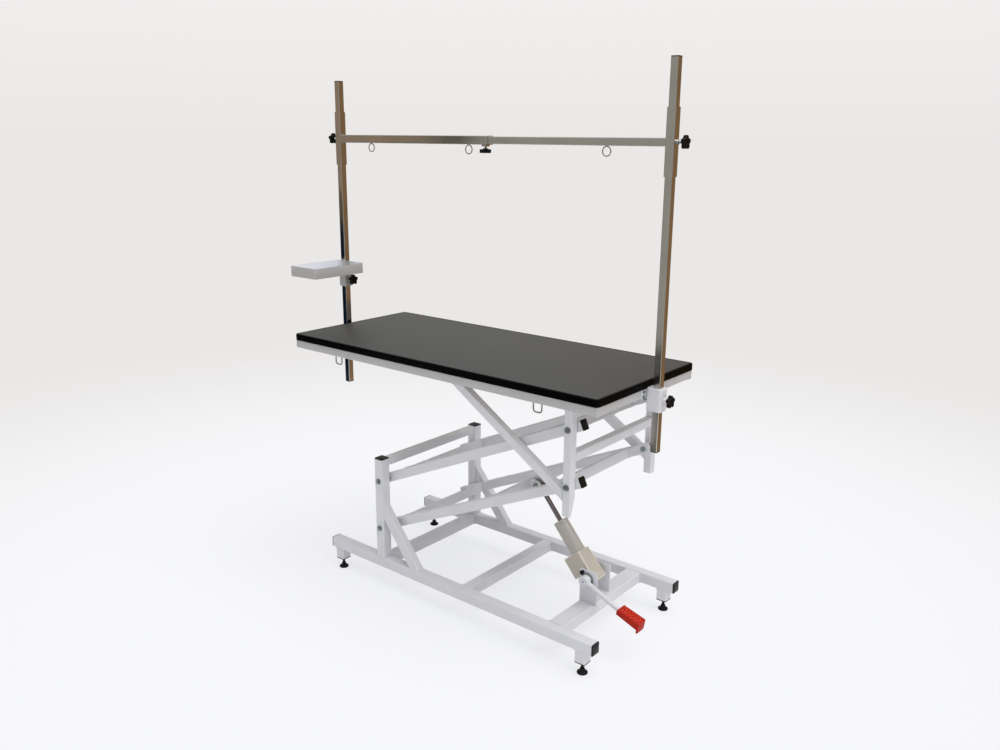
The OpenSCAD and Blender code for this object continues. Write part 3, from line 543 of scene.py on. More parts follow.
def body_of(node):
    for body, members in FRAME["record"]["behaviour"]["bodies"].items():
        if node in members:
            return body
    raise KeyError(node)


def pivot(joint):
    return Vector(JOINTS[joint]["pos_m"])


def arm_direction():
    return (pivot("table_level") - pivot("lift")).normalized()


# ---------- the pieces ----------


class GROOMING_OT_steelwork(Operator):
    """Gives the frame's tubes, the posts and the bar their finishes"""

    bl_idname = "grooming.steelwork"
    bl_label = "Steelwork"

    def execute(self, context):
        make_materials()
        for key, nodes in KEPT_NODES.items():
            for node in nodes:
                data = NODES[node].data
                data.materials.clear()
                data.materials.append(MATERIALS[key])
        for node in ("leash_loops", "bar_rings"):
            soften(node, "bright_wire", body_of(node))
        return {"FINISHED"}


class GROOMING_OT_star_knobs(Operator):
    """Makes the star knobs with their screws"""

    bl_idname = "grooming.star_knobs"
    bl_label = "Star Knobs"

    def execute(self, context):
        s = sizes()
        for node in [n for n in NODES if n.endswith("_knob")]:
            joint = JOINTS[node + "_turn"]
            start, axis = Vector(joint["pos_m"]), Vector(joint["axis"])
            low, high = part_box(node)
            reach = sorted(((low - start).dot(axis), (high - start).dot(axis)))
            across = max((high - low)[k] for k in range(3) if abs(axis[k]) < 0.5) / 2
            place = towards(start, axis)
            lobe_up = place.inverted().to_3x3() @ Vector((0, 0, 1) if abs(axis.z) < 0.5 else (1, 0, 0))
            up_angle = math.atan2(lobe_up.y, lobe_up.x)
            bm = bmesh.new()
            under = reach[1] - s.knob_head
            self.head(bm, place, s, across, up_angle, under)
            turned(
                bm,
                [(0, under + 2 * MM), (across * 0.6, under + 2 * MM), (across * 0.56, under),
                 (across * 0.43, under - 1 * MM), (across * 0.43, under - 2.6 * MM),
                 (across * 0.4, under - 3 * MM), (0, under - 3 * MM)],
                place,
            )  # fmt: skip
            black = len(bm.faces)
            turned(bm, thread(4 * MM, reach[0], under - 2 * MM, s.thread_pitch), place, 24)
            second_material(bm, black)
            finish_piece(bm, node + "_moulded", "knob_black", node, [node], ["zinc_plate"])
        return {"FINISHED"}

    def head(self, bm, place, s, across, up_angle, under):
        """The lobed head, its rims rounded and its middle dished round a plug."""
        made = bmesh.ops.create_circle(bm, cap_ends=True, segments=80, radius=across)
        for vert in made["verts"]:
            angle = math.atan2(vert.co.y, vert.co.x) - up_angle
            wave = (1 - math.cos(s.knob_lobes * angle)) / 2
            vert.co.xy *= 1 - s.knob_lobe * wave**1.4 / across
        extruded(bm, made["verts"][0].link_faces[0], (0, 0, s.knob_head))
        rims = [e for e in bm.edges if e.is_manifold and e.calc_face_angle(0) > SHARP and level(e)]
        rounded(bm, rims, 2.2 * MM, 3)
        lid = max((f for f in bm.faces if len(f.verts) > 8), key=lambda f: f.calc_center_median().z)
        bmesh.ops.inset_region(bm, faces=[lid], thickness=across * 0.32, use_even_offset=False)
        bmesh.ops.inset_region(bm, faces=[lid], thickness=0.8 * MM, depth=-1.2 * MM, use_even_offset=False)
        bmesh.ops.transform(bm, matrix=place @ Matrix.Translation((0, 0, under)), verts=bm.verts)


def thread(radius, low, high, pitch, depth=0.35):
    """The profile of a screw, with a ridge at each pitch."""
    steps = max(1, int((high - low) / pitch))
    points = [(0, low), (radius * 0.75, low)]
    for i in range(steps):
        z = low + (high - low) * (i + 0.25) / steps
        points.append((radius - depth * pitch, z))
        points.append((radius, z + (high - low) * 0.5 / steps))
    return [*points, (radius - depth * pitch, high), (0, high)]


class GROOMING_OT_levelling_feet(Operator):
    """Makes the screw feet with their pads"""

    bl_idname = "grooming.levelling_feet"
    bl_label = "Levelling Feet"

    def execute(self, context):
        for node in [n for n in NODES if n.endswith("_foot")]:
            low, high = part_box(node)
            middle = (low + high) / 2
            place = Matrix.Translation((middle.x, middle.y, 0))
            pad = (high.x - low.x) / 2
            bm = bmesh.new()
            turned(
                bm,
                [(0, 0), (pad - 1.2 * MM, 0), (pad, 1.2 * MM), (pad, 4.6 * MM), (pad - 0.8 * MM, 5.8 * MM),
                 (pad - 2.4 * MM, 6.8 * MM), (pad * 0.7, 8.6 * MM), (pad * 0.54, 10.4 * MM),
                 (pad * 0.46, 12 * MM), (pad * 0.44, 19 * MM), (pad * 0.36, 20 * MM), (0, 20 * MM)],
                place,
            )  # fmt: skip
            turned(bm, thread(BOLT_RADIUS, 19 * MM, high.z, sizes().thread_pitch), place, 32)
            prism(bm, 6, 9 * MM, 33 * MM, 40.5 * MM, place, 0.8 * MM)
            finish_piece(bm, node + "_moulded", "foot_black", node, [node])
        return {"FINISHED"}


class GROOMING_OT_end_plugs(Operator):
    """Makes the moulded plugs in the ends of the tubes"""

    bl_idname = "grooming.end_plugs"
    bl_label = "End Plugs"

    def plug(self, bm, place, width, height, recess=True):
        """A plug whose plate lies on the place's XY plane and rises along +Z."""
        s = sizes()
        plate = s.plug_plate
        seat = place @ Matrix.Translation((0, 0, plate / 2))
        faces = slab(bm, (width, height, plate), seat, 4 * MM, 0.8 * MM)
        outward = (place.to_3x3() @ Vector((0, 0, 1))).normalized()
        flat = [f for f in faces if f.is_valid and f.normal.dot(outward) > 0.99]
        if recess and flat:
            face = max(flat, key=lambda f: f.calc_area())
            for wide, deep in ((s.plug_rim - 1 * MM, 0), (0.8 * MM, -0.9 * MM)):
                bmesh.ops.inset_region(bm, faces=[face], thickness=wide, depth=deep, use_even_offset=True)
            face.material_index = 1
        stem = 4.4 * MM
        slab(bm, (width - stem, height - stem, 6 * MM), place @ Matrix.Translation((0, 0, -3 * MM)), 2 * MM)

    def execute(self, context):
        stub_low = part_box("foot_stubs")[0].z
        column_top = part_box("uprights")[1].z
        rail_low, rail_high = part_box("base_rails")
        bm = bmesh.new()
        for low, high in solids("base_end_caps"):
            middle, size = (low + high) / 2, high - low
            if high.z > column_top:
                place = Matrix.Translation((middle.x, middle.y, column_top))
                self.plug(bm, place, size.x, size.y)
            elif low.z < stub_low:
                place = Matrix.Translation((middle.x, middle.y, stub_low))
                place = place @ Matrix.Rotation(math.pi, 4, "X")
                self.plug(bm, place, size.x, size.y, recess=False)
            else:
                right = middle.x > 0
                end = (rail_high if right else rail_low).x
                place = towards((end, middle.y, middle.z), (1 if right else -1, 0, 0))
                self.plug(bm, place, size.z, size.y)
        finish_piece(bm, "base_end_plugs", "plug_black", "base", ["base_end_caps"], ["plug_face"])

        along = arm_direction()
        low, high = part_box("front_lower_arm")
        drop = ARM_SIZE[1] / 2 * along.z
        near = (pivot("lift").x - low.x - drop) / along.x
        far = (high.x - drop - pivot("lift").x) / along.x
        for body, start in (("lower_arms", pivot("lift")), ("upper_arms", pivot("upper_arm_swing"))):
            side = sum(c.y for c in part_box("rear_lower_arm")) / 2
            bm = bmesh.new()
            for y in (-side, side):
                for way in (-1, 1):
                    end = start + along * (far if way > 0 else -near)
                    out = along * way
                    across = Vector((0, 1, 0))
                    up = out.cross(across)
                    turn = Matrix((across, -up, out)).transposed().to_4x4()
                    place = Matrix.Translation((end.x, y, end.z)) @ turn
                    self.plug(bm, place, *ARM_SIZE)
            arm = body[:-1]
            finish_piece(bm, arm + "_plugs", "plug_black", body, [arm + "_caps"], ["plug_face"])

        for side in ("left", "right"):
            low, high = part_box(side + "_post")
            width = high.x - low.x
            middle = (low + high) / 2
            bm = bmesh.new()
            for z, turn in ((high.z, 0), (low.z, math.pi)):
                place = Matrix.Translation((middle.x, middle.y, z)) @ Matrix.Rotation(turn, 4, "X")
                plate = place @ Matrix.Translation((0, 0, 1.5 * MM))
                slab(bm, (width, width, 3 * MM), plate, 2.5 * MM, 0.7 * MM)
                stem, inside = place @ Matrix.Translation((0, 0, -6 * MM)), width - 3.4 * MM
                slab(bm, (inside, inside, 12 * MM), stem, 1 * MM)
            body = side + "_post"
            finish_piece(bm, body + "_plugs", "plug_black", body, [body + "_caps"])
        return {"FINISHED"}


class GROOMING_OT_bolts(Operator):
    """Makes the pivot bolts, their nuts and washers, and the small bolts of the sockets"""

    bl_idname = "grooming.bolts"
    bl_label = "Bolts"

    def pivot_bolt(self, bm, x, y_head, y_nut, z, side):
        """A bolt along Y whose washer is at y_head, and whose nut's near face is at y_nut."""
        out = towards((x, y_head, z), (0, side, 0))
        base = 1.2 * MM
        turned(bm, [(0, 0), (10.6 * MM, 0), (11 * MM, 0.4 * MM), (11 * MM, 0.9 * MM),
                    (10.5 * MM, base), (0, base)], out)  # fmt: skip
        prism(bm, 6, BOLT_ACROSS, base, sizes().bolt_head, out, 0.9 * MM, 0.3)
        depth = abs(y_head - y_nut)
        prism(bm, 32, BOLT_RADIUS, -depth - NUT_HEIGHT - 3 * MM, base, out)
        prism(bm, 6, BOLT_ACROSS, -depth - NUT_HEIGHT, -depth, out, 0.8 * MM, 0.3)

    def execute(self, context):
        lift, upper, table = pivot("lift"), pivot("upper_arm_swing"), pivot("table_level")
        rise = upper.z - lift.z
        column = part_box("uprights")[1].y
        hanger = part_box("hangers")[1].y
        arm_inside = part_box("rear_lower_arm")[0].y
        for part, body, low, face in (("base", "base", lift, column), ("hanger", "table", table, hanger)):
            bm = bmesh.new()
            for side in (-1, 1):
                for z in (low.z, low.z + rise):
                    self.pivot_bolt(bm, low.x, side * face, side * (arm_inside - 0.3 * MM), z, side)
            name = part + "_pivot_hardware"
            finish_piece(bm, name, "zinc_plate", body, [part + "_pivot_bolts"])
        soften("base_pivot_spacers", "zinc_plate", "base", (0.6 * MM, 2, None))

        low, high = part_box("rod_pin")
        middle = (low + high) / 2
        bm = bmesh.new()
        past = 4 * MM
        out = towards((middle.x, high.y - past, middle.z), (0, 1, 0))
        reach = high.y - low.y - past
        prism(bm, 32, 6 * MM, -reach + 1 * MM, 3.2 * MM, out, 0.6 * MM)
        for nut in (-NUT_HEIGHT, -reach):
            prism(bm, 6, BOLT_ACROSS, nut, nut + NUT_HEIGHT, out, 0.8 * MM)
        finish_piece(bm, "rod_pin_hardware", "zinc_plate", "lower_arms", ["rod_pin"])

        bm = bmesh.new()
        for low, high in solids("bracket_bolts"):
            side = 1 if low.x > 0 else -1
            head, washer = 4 * MM, 0.8 * MM
            face = (high.x if side > 0 else low.x) - side * head
            middle = (low + high) / 2
            out = towards((face, middle.y, middle.z), (side, 0, 0))
            prism(bm, 6, 5.4 * MM, washer, head, out, 0.5 * MM)
            prism(bm, 24, 6.4 * MM, 0, washer, out, 0.2 * MM)
            prism(bm, 16, 3 * MM, -4 * MM, 1 * MM, out)
        finish_piece(bm, "socket_bolts", "zinc_plate", "table", ["bracket_bolts"])
        fasteners = soften("pump_fasteners", "black_oxide", "base", (0.9 * MM, 2, None))
        fasteners.data.materials.append(MATERIALS["zinc_plate"])
        # the washer behind the lever's hub is zinc-plated; the other fasteners are black
        hub = pivot("pedal_press")
        boxes = solids("pump_fasteners")
        washer = max(high.x - low.x for low, high in boxes) / 2 + 0.1 * MM
        near = min(low.y for low, high in boxes)
        for face in fasteners.data.polygons:
            away = face.center - hub
            in_ring = math.hypot(away.x, away.z) < washer and face.center.y < near + washer / 2
            face.material_index = int(in_ring)
        return {"FINISHED"}


class GROOMING_OT_sockets(Operator):
    """Rounds the edges of the post sockets, and makes the clamp block under the bar"""

    bl_idname = "grooming.sockets"
    bl_label = "Post Sockets"

    def execute(self, context):
        low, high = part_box("post_brackets")
        post_x = sum(corner.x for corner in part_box("right_post")) / 2

        def rim(edge):
            """The rims of the socket's block, but not of the post's hole"""
            points = [v.co for v in edge.verts]
            end = min(abs(points[0].z - z) for z in (low.z, high.z)) < 10 * TINY
            middle = (points[0] + points[1]) / 2
            from_post = max(abs(abs(middle.x) - post_x), abs(middle.y))
            return level(edge) and end and from_post > 16 * MM

        step = (sizes().cast_edge, 4, rim)
        soften("post_brackets", "powder_coat", "table", step, name="post_sockets")
        soften("bar_clamp_block", "stainless_level", "carriage", (0.8 * MM, 2, None))
        return {"FINISHED"}


class GROOMING_OT_table_top(Operator):
    """Makes the rubber mat and the edging round the table top"""

    bl_idname = "grooming.table_top"
    bl_label = "Table Top"

    def execute(self, context):
        soften("rubber_mat", "mat_rubber", "table", (0.5 * MM, 2, None))
        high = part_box("edge_trim")[1]
        round_corner = 16 * MM

        def outside(edge):
            """The edging's outer rims"""
            if not level(edge):
                return False
            gaps = [(high.x - abs(v.co.x), high.y - abs(v.co.y)) for v in edge.verts]
            corner = [(round_corner - x, round_corner - y) for x, y in gaps]
            on_arc = any(
                a > 0 and b > 0 and math.hypot(a, b) > round_corner - 0.5 * MM for a, b in corner
            )
            return min(min(pair) for pair in gaps) < 10 * TINY or on_arc

        step = (sizes().edging_edge, 4, outside)
        soften("edge_trim", "edging_black", "table", step, name="table_edging")
        return {"FINISHED"}


class GROOMING_OT_pump(Operator):
    """Makes the hydraulic pump: its block, barrel, gland and rod"""

    bl_idname = "grooming.pump"
    bl_label = "Hydraulic Pump"

    def execute(self, context):
        s = sizes()
        foot = pivot("pump_tilt")
        axis = Vector(JOINTS["rod_stroke"]["axis"])
        across = Vector((0, 1, 0))
        turn = Matrix((across.cross(axis), across, axis)).transposed().to_4x4()
        place = Matrix.Translation(foot) @ turn
        top, base, gland = 227 * MM, 103 * MM, 10 * MM
        outer, bore, rod = 27 * MM, 22 * MM, 8.6 * MM
        bm = bmesh.new()
        turned(
            bm,
            [(bore, base), (outer + 1.6 * MM, base), (outer + 1.6 * MM, base + 1 * MM),
             (outer, base + 3 * MM), (outer, top - 16 * MM), (outer - 1 * MM, top - 15 * MM),
             (outer - 1 * MM, top - 14 * MM),
             (outer, top - 13 * MM), (outer, top - 2.5 * MM), (outer - 0.8 * MM, top - 0.8 * MM),
             (outer - 2.5 * MM, top), (rod + 6 * MM, top), (rod + 5 * MM, top - 1 * MM),
             (rod, top - 1 * MM),
             (rod, top - gland), (bore, top - gland), (bore, base)],
            place, 64,
        )  # fmt: skip
        enamel = len(bm.faces)
        turned(
            bm,
            [(rod, top - 2 * MM), (rod + 4.6 * MM, top - 2 * MM), (rod + 4.6 * MM, top - 0.4 * MM),
             (rod + 1.6 * MM, top), (rod, top - 0.2 * MM), (rod, top - 2 * MM)],
            place,
        )  # fmt: skip
        second_material(bm, enamel)
        finish_piece(bm, "pump_barrel_turned", "barrel_enamel", "pump", ["pump_barrel"], ["knob_black"])
        self.block(place, s, bore)
        soften("piston_rod", "rod_chrome", "rod", (0.8 * MM, 2, None))
        soften("pump_plates", "powder_coat", "base", (s.plate_edge, 2, None))
        soften("rod_bracket", "powder_coat", "lower_arms", (s.plate_edge, 2, None))
        return {"FINISHED"}

    def block(self, place, s, bore):
        """The cast block, whose far side leans out to the far plate, with a tail on the pump's pin."""
        foot = pivot("pump_tilt").y
        low = Vector((-54 * MM, -36 * MM - foot, 22 * MM))
        high = Vector((24 * MM, 25 * MM - foot, 103 * MM))
        tail_low = Vector((-20 * MM, low.y, -14 * MM))
        tail_high = Vector((high.x, high.y, low.z + 8 * MM))
        lean, tail_radius, boss_radius, bore_low = 9 * MM, 20 * MM, 12 * MM, 40 * MM
        bm = bmesh.new()
        for start, end in ((low, high), (tail_low, tail_high)):
            slab(bm, end - start, Matrix.Translation((start + end) / 2), s.block_edge, s.block_edge)
        for vert in bm.verts:
            if vert.co.y > 0:
                vert.co.y += lean * (high.z - vert.co.z) / (high.z - tail_low.z)
        bm.normal_update()
        # the bevelled faces get the paler edge copy of the paint: a painted highlight
        for face in bm.faces:
            face.material_index = int(max(abs(c) for c in face.normal) < 0.99)
        bmesh.ops.transform(bm, matrix=place, verts=bm.verts)
        along = place @ Matrix.Rotation(-math.pi / 2, 4, "X")
        prism(bm, 64, tail_radius, low.y, high.y, along, 1 * MM)
        prism(bm, 48, boss_radius, *(c.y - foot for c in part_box("pump_block")), along)
        block = finish_piece(bm, "pump_block_cast", "block_enamel", "pump", ["pump_block"], ["block_edges"])
        hole = bmesh.new()
        prism(hole, 64, bore, bore_low, high.z + 10 * MM, place)
        cut(block, hole)


class GROOMING_OT_pedal(Operator):
    """Makes the pedal's lever, its hub and the ribbed pad"""

    bl_idname = "grooming.pedal"
    bl_label = "Pedal"

    def execute(self, context):
        s = sizes()
        hub = pivot("pedal_press")
        low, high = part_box("pedal_lever")
        face = low.y
        bm = bmesh.new()
        out = towards((hub.x, 0, hub.z), (0, -1, 0))
        front, back = -face, -face - 26 * MM
        turned(
            bm,
            [(0, back), (16.6 * MM, back), (18 * MM, back + 1.4 * MM), (18 * MM, front - 1.6 * MM),
             (17.4 * MM, front - 0.5 * MM), (16.2 * MM, front), (12 * MM, front),
             (11.2 * MM, front - 0.8 * MM),
             (0, front - 0.9 * MM)],
            out, 64,
        )  # fmt: skip
        shaft, deep = 7.9 * MM, back + 1 * MM
        turned(bm, [(0, -high.y), (shaft, -high.y), (shaft, deep), (0, deep)], out)
        along = Vector((math.cos(LEVER_SLOPE), 0, -math.sin(LEVER_SLOPE)))
        reach = LEVER_LENGTH + 42 * MM
        radius = 9 * MM
        turned(
            bm,
            [(0, -17.5 * MM), (radius - 1.5 * MM, -17.5 * MM), (radius, -16 * MM), (radius, reach - 1 * MM),
             (radius - 1 * MM, reach), (0, reach)],
            towards(hub, along),
        )  # fmt: skip
        ring = [(radius + 1.2 * MM * math.cos(a), 17.6 * MM + 1.4 * MM * math.sin(a))
                for a in [i * math.pi / 4 for i in range(9)]]  # fmt: skip
        turned(bm, ring, towards(hub, along))
        paint = len(bm.faces)
        prism(bm, 6, 2.6 * MM, front - 2 * MM, front - 0.2 * MM, out, 0.3 * MM)
        second_material(bm, paint)
        finish_piece(bm, "pedal_lever_turned", "powder_coat", "pedal", ["pedal_lever"], ["black_oxide"])
        self.pad(hub + along * LEVER_LENGTH, s)
        return {"FINISHED"}

    def pad(self, start, s):
        """The pad: a wedge with a lip at its front, and chevron ribs that point to it."""
        long, wide, back, front, lip, lip_t = (v * MM for v in (88, 45, 19, 26, 37, 4))
        place = (
            Matrix.Translation(start)
            @ Matrix.Rotation(TREAD_SLOPE, 4, "Y")
            @ Matrix.Translation((0, 6 * MM, back / 2))
        )
        bm = bmesh.new()
        outline = [(0, 0), (0, -back), (long - lip_t, -front), (long - lip_t / 2, -lip),
                   (long + lip_t, -lip), (long, 0)]  # fmt: skip
        verts = [bm.verts.new((x, -wide / 2, z)) for x, z in outline]
        extruded(bm, bm.faces.new(verts), (0, wide, 0))
        bmesh.ops.recalc_face_normals(bm, faces=bm.faces)
        rounded(bm, [e for e in bm.edges if e.calc_face_angle(0) > 0.2], s.pedal_edge, 3)
        plain = set(bm.faces)
        rib, rib_count = 4.6 * MM, 5
        pitch = (long - wide / 2 - 2 * rib) / (rib_count - 1)
        for i in range(rib_count):
            shape = [(0, -wide / 2 + rib), (rib, -wide / 2 + rib), (wide / 2, 0), (rib, wide / 2 - rib),
                     (0, wide / 2 - rib), (wide / 2 - rib, 0)]  # fmt: skip
            rib_verts = [bm.verts.new((rib + i * pitch + x, y, -1 * MM)) for x, y in shape]
            lid = extruded(bm, bm.faces.new(rib_verts), (0, 0, 3 * MM))
            rounded(bm, list(lid.edges), 0.5 * MM, 2)
        # the ribs get the lighter red: a painted highlight on the lit ribs
        for face in bm.faces:
            face.material_index = int(face not in plain)
        bmesh.ops.transform(bm, matrix=place, verts=bm.verts)
        finish_piece(bm, "pedal_pad_moulded", "pedal_red", "pedal", ["pedal_pad"], ["pedal_rib"])


class GROOMING_OT_tool_tray(Operator):
    """Makes the tool tray and its collar"""

    bl_idname = "grooming.tool_tray"
    bl_label = "Tool Tray"

    def execute(self, context):
        s = sizes()
        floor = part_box("tray")[0].z

        def underside(edge):
            """The tray's outer rims at its floor"""
            at_floor = all(abs(v.co.z - floor) < TINY for v in edge.verts)
            return at_floor and edge.calc_length() > 1.5 * MM

        steps = (2.4 * MM, 4, underside), (s.plate_edge, 2, None)
        tray = soften("tray", "tray_enamel", "tray", *steps)
        tray.data.materials.append(MATERIALS["tray_inside"])
        middle = sum(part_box("tray"), Vector()) / 2
        # faces that look towards the tray's middle get the paler inside copy of the enamel: painted light
        for face in tray.data.polygons:
            face.material_index = int(face.normal.dot(middle - face.center) > 0)
        soften("tray_collar", "tray_enamel", "tray", (s.plate_edge, 3, None))
        return {"FINISHED"}


class GROOMING_OT_welds(Operator):
    """Makes the weld beads where the tubes meet"""

    bl_idname = "grooming.welds"
    bl_label = "Welds"

    def execute(self, context):
        flat_y = Matrix.Rotation(math.pi / 2, 4, "X")
        slope = -math.atan2(arm_direction().z, arm_direction().x)
        tilt = Matrix.Rotation(slope, 4, "Y")
        loops = {"base": [], "table": [], "lower_arms": [], "upper_arms": []}
        for body, node, end in (
            ("base", "uprights", "low"), ("base", "foot_stubs", "high"),
            ("base", "pump_plates", "low"), ("table", "hangers", "high"),
        ):  # fmt: skip
            for low, high in solids(node):
                middle, size = (low + high) / 2, high - low
                z = low.z if end == "low" else high.z
                loops[body].append((Matrix.Translation((middle.x, middle.y, z)), size.x / 2, size.y / 2))
        for body, node, cross in (
            ("base", "base_cross_members", None), ("base", "pump_cross_member", None),
            ("base", "upright_cross_tube", None), ("table", "frame_cross_tubes", None),
            ("table", "hanger_cross_tube", None),
            ("lower_arms", "lower_arm_cross_tubes", ARM_SIZE),
            ("upper_arms", "upper_arm_cross_tubes", ARM_SIZE),
        ):  # fmt: skip
            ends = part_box(node)
            for low, high in solids(node):
                # the frame's outer corners are ground flush
                at_end = low.x < ends[0].x + 1 * MM or high.x > ends[1].x - 1 * MM
                if node == "frame_cross_tubes" and at_end:
                    continue
                middle, size = (low + high) / 2, high - low
                wide, tall = (v / 2 for v in (cross or (size.x, size.z)))
                turn = flat_y if cross is None else tilt @ flat_y
                for y in (low.y, high.y):
                    loops[body].append((Matrix.Translation((middle.x, y, middle.z)) @ turn, wide, tall))
        for body, rows in loops.items():
            self.beads(body, rows)
        return {"FINISHED"}

    def beads(self, body, rows):
        """Rippled beads round rectangles, each given by its place and half sizes."""
        s = sizes()
        curve = bpy.data.curves.new(body + "_welds", "CURVE")
        curve.dimensions = "3D"
        curve.bevel_depth = s.weld_bead
        curve.bevel_resolution = 1
        for place, wide, tall in rows:
            corners = [Vector((x * wide, y * tall, 0)) for x, y in ((-1, -1), (1, -1), (1, 1), (-1, 1))]
            points = []
            for a, b in zip(corners, corners[1:] + corners[:1]):
                steps = max(2, round((b - a).length / s.weld_ripple))
                points += [a.lerp(b, i / steps) for i in range(steps)]
            spline = curve.splines.new("POLY")
            spline.points.add(len(points) - 1)
            spline.use_cyclic_u = True
            for i, (point, target) in enumerate(zip(points, spline.points)):
                target.co = (*(place @ point), 1)
                target.radius = 1.0 - 0.1 * (i % 2)
        holder = placed(body + "_welds_line", curve)
        mesh = evaluated(holder)
        bpy.data.objects.remove(holder)
        bm = bmesh.new()
        bm.from_mesh(mesh)
        bpy.data.meshes.remove(mesh)
        finish_piece(bm, body + "_welds", "powder_coat", body)


# ---------- the studio ----------


class GROOMING_OT_studio(Operator):
    """Makes the floor, the surroundings that the metal shows, the lamps and the camera"""

    bl_idname = "grooming.studio"
    bl_label = "Studio"

    def execute(self, context):
        scene = context.scene
        scene.view_settings.view_transform = "Standard"
        self.floor()
        self.surroundings()
        self.cards()
        self.world(scene)
        self.lamps()
        self.camera(scene)
        return {"FINISHED"}

    def floor(self):
        """A wide pale floor: bright round the table, and the backdrop's colour far away."""
        floor = stage_piece(
            "studio_floor",
            lambda bm: bmesh.ops.create_circle(bm, cap_ends=True, segments=64, radius=FLOOR_RADIUS),
        )
        made, tree, place = new_material("studio_floor")
        far = add(tree, "VectorMath", {0: place}, operation="LENGTH").outputs["Value"]
        fade = mapped(tree, far, 1.0, 4.5, interpolation_type="SMOOTHSTEP")
        seen = add(tree, "LightPath").outputs["Is Camera Ray"]
        # the camera sees the floor near the table mostly as a glow: painted light that makes the table's shadows
        # on it faint
        lit = mapped(tree, fade, 0, 1, FLOOR_GLOW)
        share = add(tree, "Math", {0: lit, 1: seen}, operation="MULTIPLY").outputs[0]
        matt = add(tree, "BsdfDiffuse", {"Color": colours().floor}).outputs[0]
        tone = mix(tree, fade, linear("#F7F8FB"), HORIZON)
        both = add(tree, "MixShader", {0: share, 1: matt, 2: glow(tree, tone)}).outputs[0]
        add(tree, "OutputMaterial", {"Surface": both})
        floor.data.materials.append(made)

    def cards(self):
        """Flat boards beside the camera's view that only reflections see, as things stand in a studio."""
        for name, place, bearing, wide, tall, text in CARDS:
            turn = Matrix.Translation(place) @ Matrix.Rotation(math.radians(bearing), 4, "Z")
            turn = turn @ Matrix.Rotation(math.pi / 2, 4, "Y") @ Matrix.Diagonal((tall, wide, 1, 1))
            card = stage_piece(
                name,
                lambda bm: bmesh.ops.create_grid(bm, x_segments=1, y_segments=1, size=0.5, matrix=turn),
            )
            only_reflected(card)
            made, tree, place_in = new_material(name)
            cloud = noise(tree, place_in, 2.5, 3)
            tone = mix(tree, cloud, shade(linear(text), 0.8), shade(linear(text), 1.2))
            add(tree, "OutputMaterial", {"Surface": glow(tree, tone)})
            card.data.materials.append(made)

    def surroundings(self):
        """A ring that only reflections see: the room round the table."""

        def shape(bm):
            bmesh.ops.create_cone(
                bm,
                cap_ends=False,
                segments=96,
                radius1=RING_RADIUS,
                radius2=RING_RADIUS,
                depth=RING_HEIGHT,
            )
            bmesh.ops.translate(bm, vec=(0, 0, RING_HEIGHT / 2), verts=bm.verts)

        ring = stage_piece("studio_ring", shape)
        only_reflected(ring)
        made, tree, place = new_material("studio_ring")
        around = add(tree, "TexGradient", {"Vector": place}, gradient_type="RADIAL").outputs["Fac"]
        height = add(tree, "SeparateXYZ", {"Vector": place}).outputs["Z"]
        bands = []
        for stops in (RING_LOW, RING_HIGH):
            ramp = add(tree, "ValToRGB", {"Fac": around})
            ramp.color_ramp.interpolation = "EASE"
            points = ramp.color_ramp.elements
            while len(points) < len(stops):
                points.new(0.5)
            for point, (at, text) in zip(points, stops):
                point.position = at
                point.color = linear(text)
            bands.append(ramp.outputs["Color"])
        up = mapped(tree, height, 0.9, 1.35, interpolation_type="SMOOTHSTEP")
        add(tree, "OutputMaterial", {"Surface": glow(tree, mix(tree, up, *bands))})
        ring.data.materials.append(made)

    def world(self, scene):
        """Even light from all round; what the camera and the metal see is the pale backdrop."""
        world = bpy.data.worlds.new("studio_world")
        scene.world = world
        world.use_nodes = True
        tree = world.node_tree
        tree.nodes.clear()
        path = add(tree, "LightPath").outputs
        rays = {0: path["Is Camera Ray"], 1: path["Is Glossy Ray"]}
        seen = add(tree, "Math", rays, operation="MAXIMUM").outputs[0]
        light = add(tree, "Background", {"Color": linear("#FDFCFF"), "Strength": AMBIENT}).outputs[0]
        view = add(tree, "TexCoord").outputs["Generated"]
        up = add(tree, "SeparateXYZ", {"Vector": view}).outputs["Z"]
        tone = mix(tree, mapped(tree, up, 0.0, 0.14), HORIZON, BACKDROP)
        wall = add(tree, "Background", {"Color": tone, "Strength": 1.0}).outputs[0]
        both = add(tree, "MixShader", {0: seen, 1: light, 2: wall}).outputs[0]
        add(tree, "OutputWorld", {"Surface": both})

    def lamps(self):
        for name, direction, energy, spread in LAMPS:
            lamp = bpy.data.lights.new(name, "SUN")
            lamp.energy = energy * math.pi
            lamp.angle = math.radians(spread)
            placed(name, lamp).matrix_world = towards((0, 0, 4), direction)

    def camera(self, scene):
        data = bpy.data.cameras.new("studio_camera")
        data.lens = sizes().camera_lens
        data.sensor_width = 36
        data.clip_end = 200
        scene.camera = placed("studio_camera", data)
        yaw, pitch, roll = (math.radians(angle) for angle in CAMERA_ANGLES)
        scene.camera.matrix_world = (
            Matrix.Translation(CAMERA_PLACE)
            @ Matrix.Rotation(yaw - math.pi / 2, 4, "Z")
            @ Matrix.Rotation(math.pi / 2 + pitch, 4, "X")
            @ Matrix.Rotation(roll, 4, "Z")
        )


def stage_piece(name, build):
    """A piece of the studio whose shape the given function makes."""
    bm = bmesh.new()
    build(bm)
    piece = placed(name, as_mesh(bm, name))
    return piece


def only_reflected(piece):
    for ray in ("camera", "diffuse", "shadow", "transmission", "volume_scatter"):
        setattr(piece, "visible_" + ray, False)


BACKDROP = linear("#F1EFEE")
HORIZON = linear("#EAE8E7")
AMBIENT = 0.48
FLOOR_GLOW = 0.74
FLOOR_RADIUS = 60
RING_RADIUS = 3.4
RING_HEIGHT = 2.8
CAMERA_PLACE = (2.0542, -2.4215, 1.6832)
CAMERA_ANGLES = (129.10, -14.95, 0.444)  # yaw, pitch and roll, in degrees
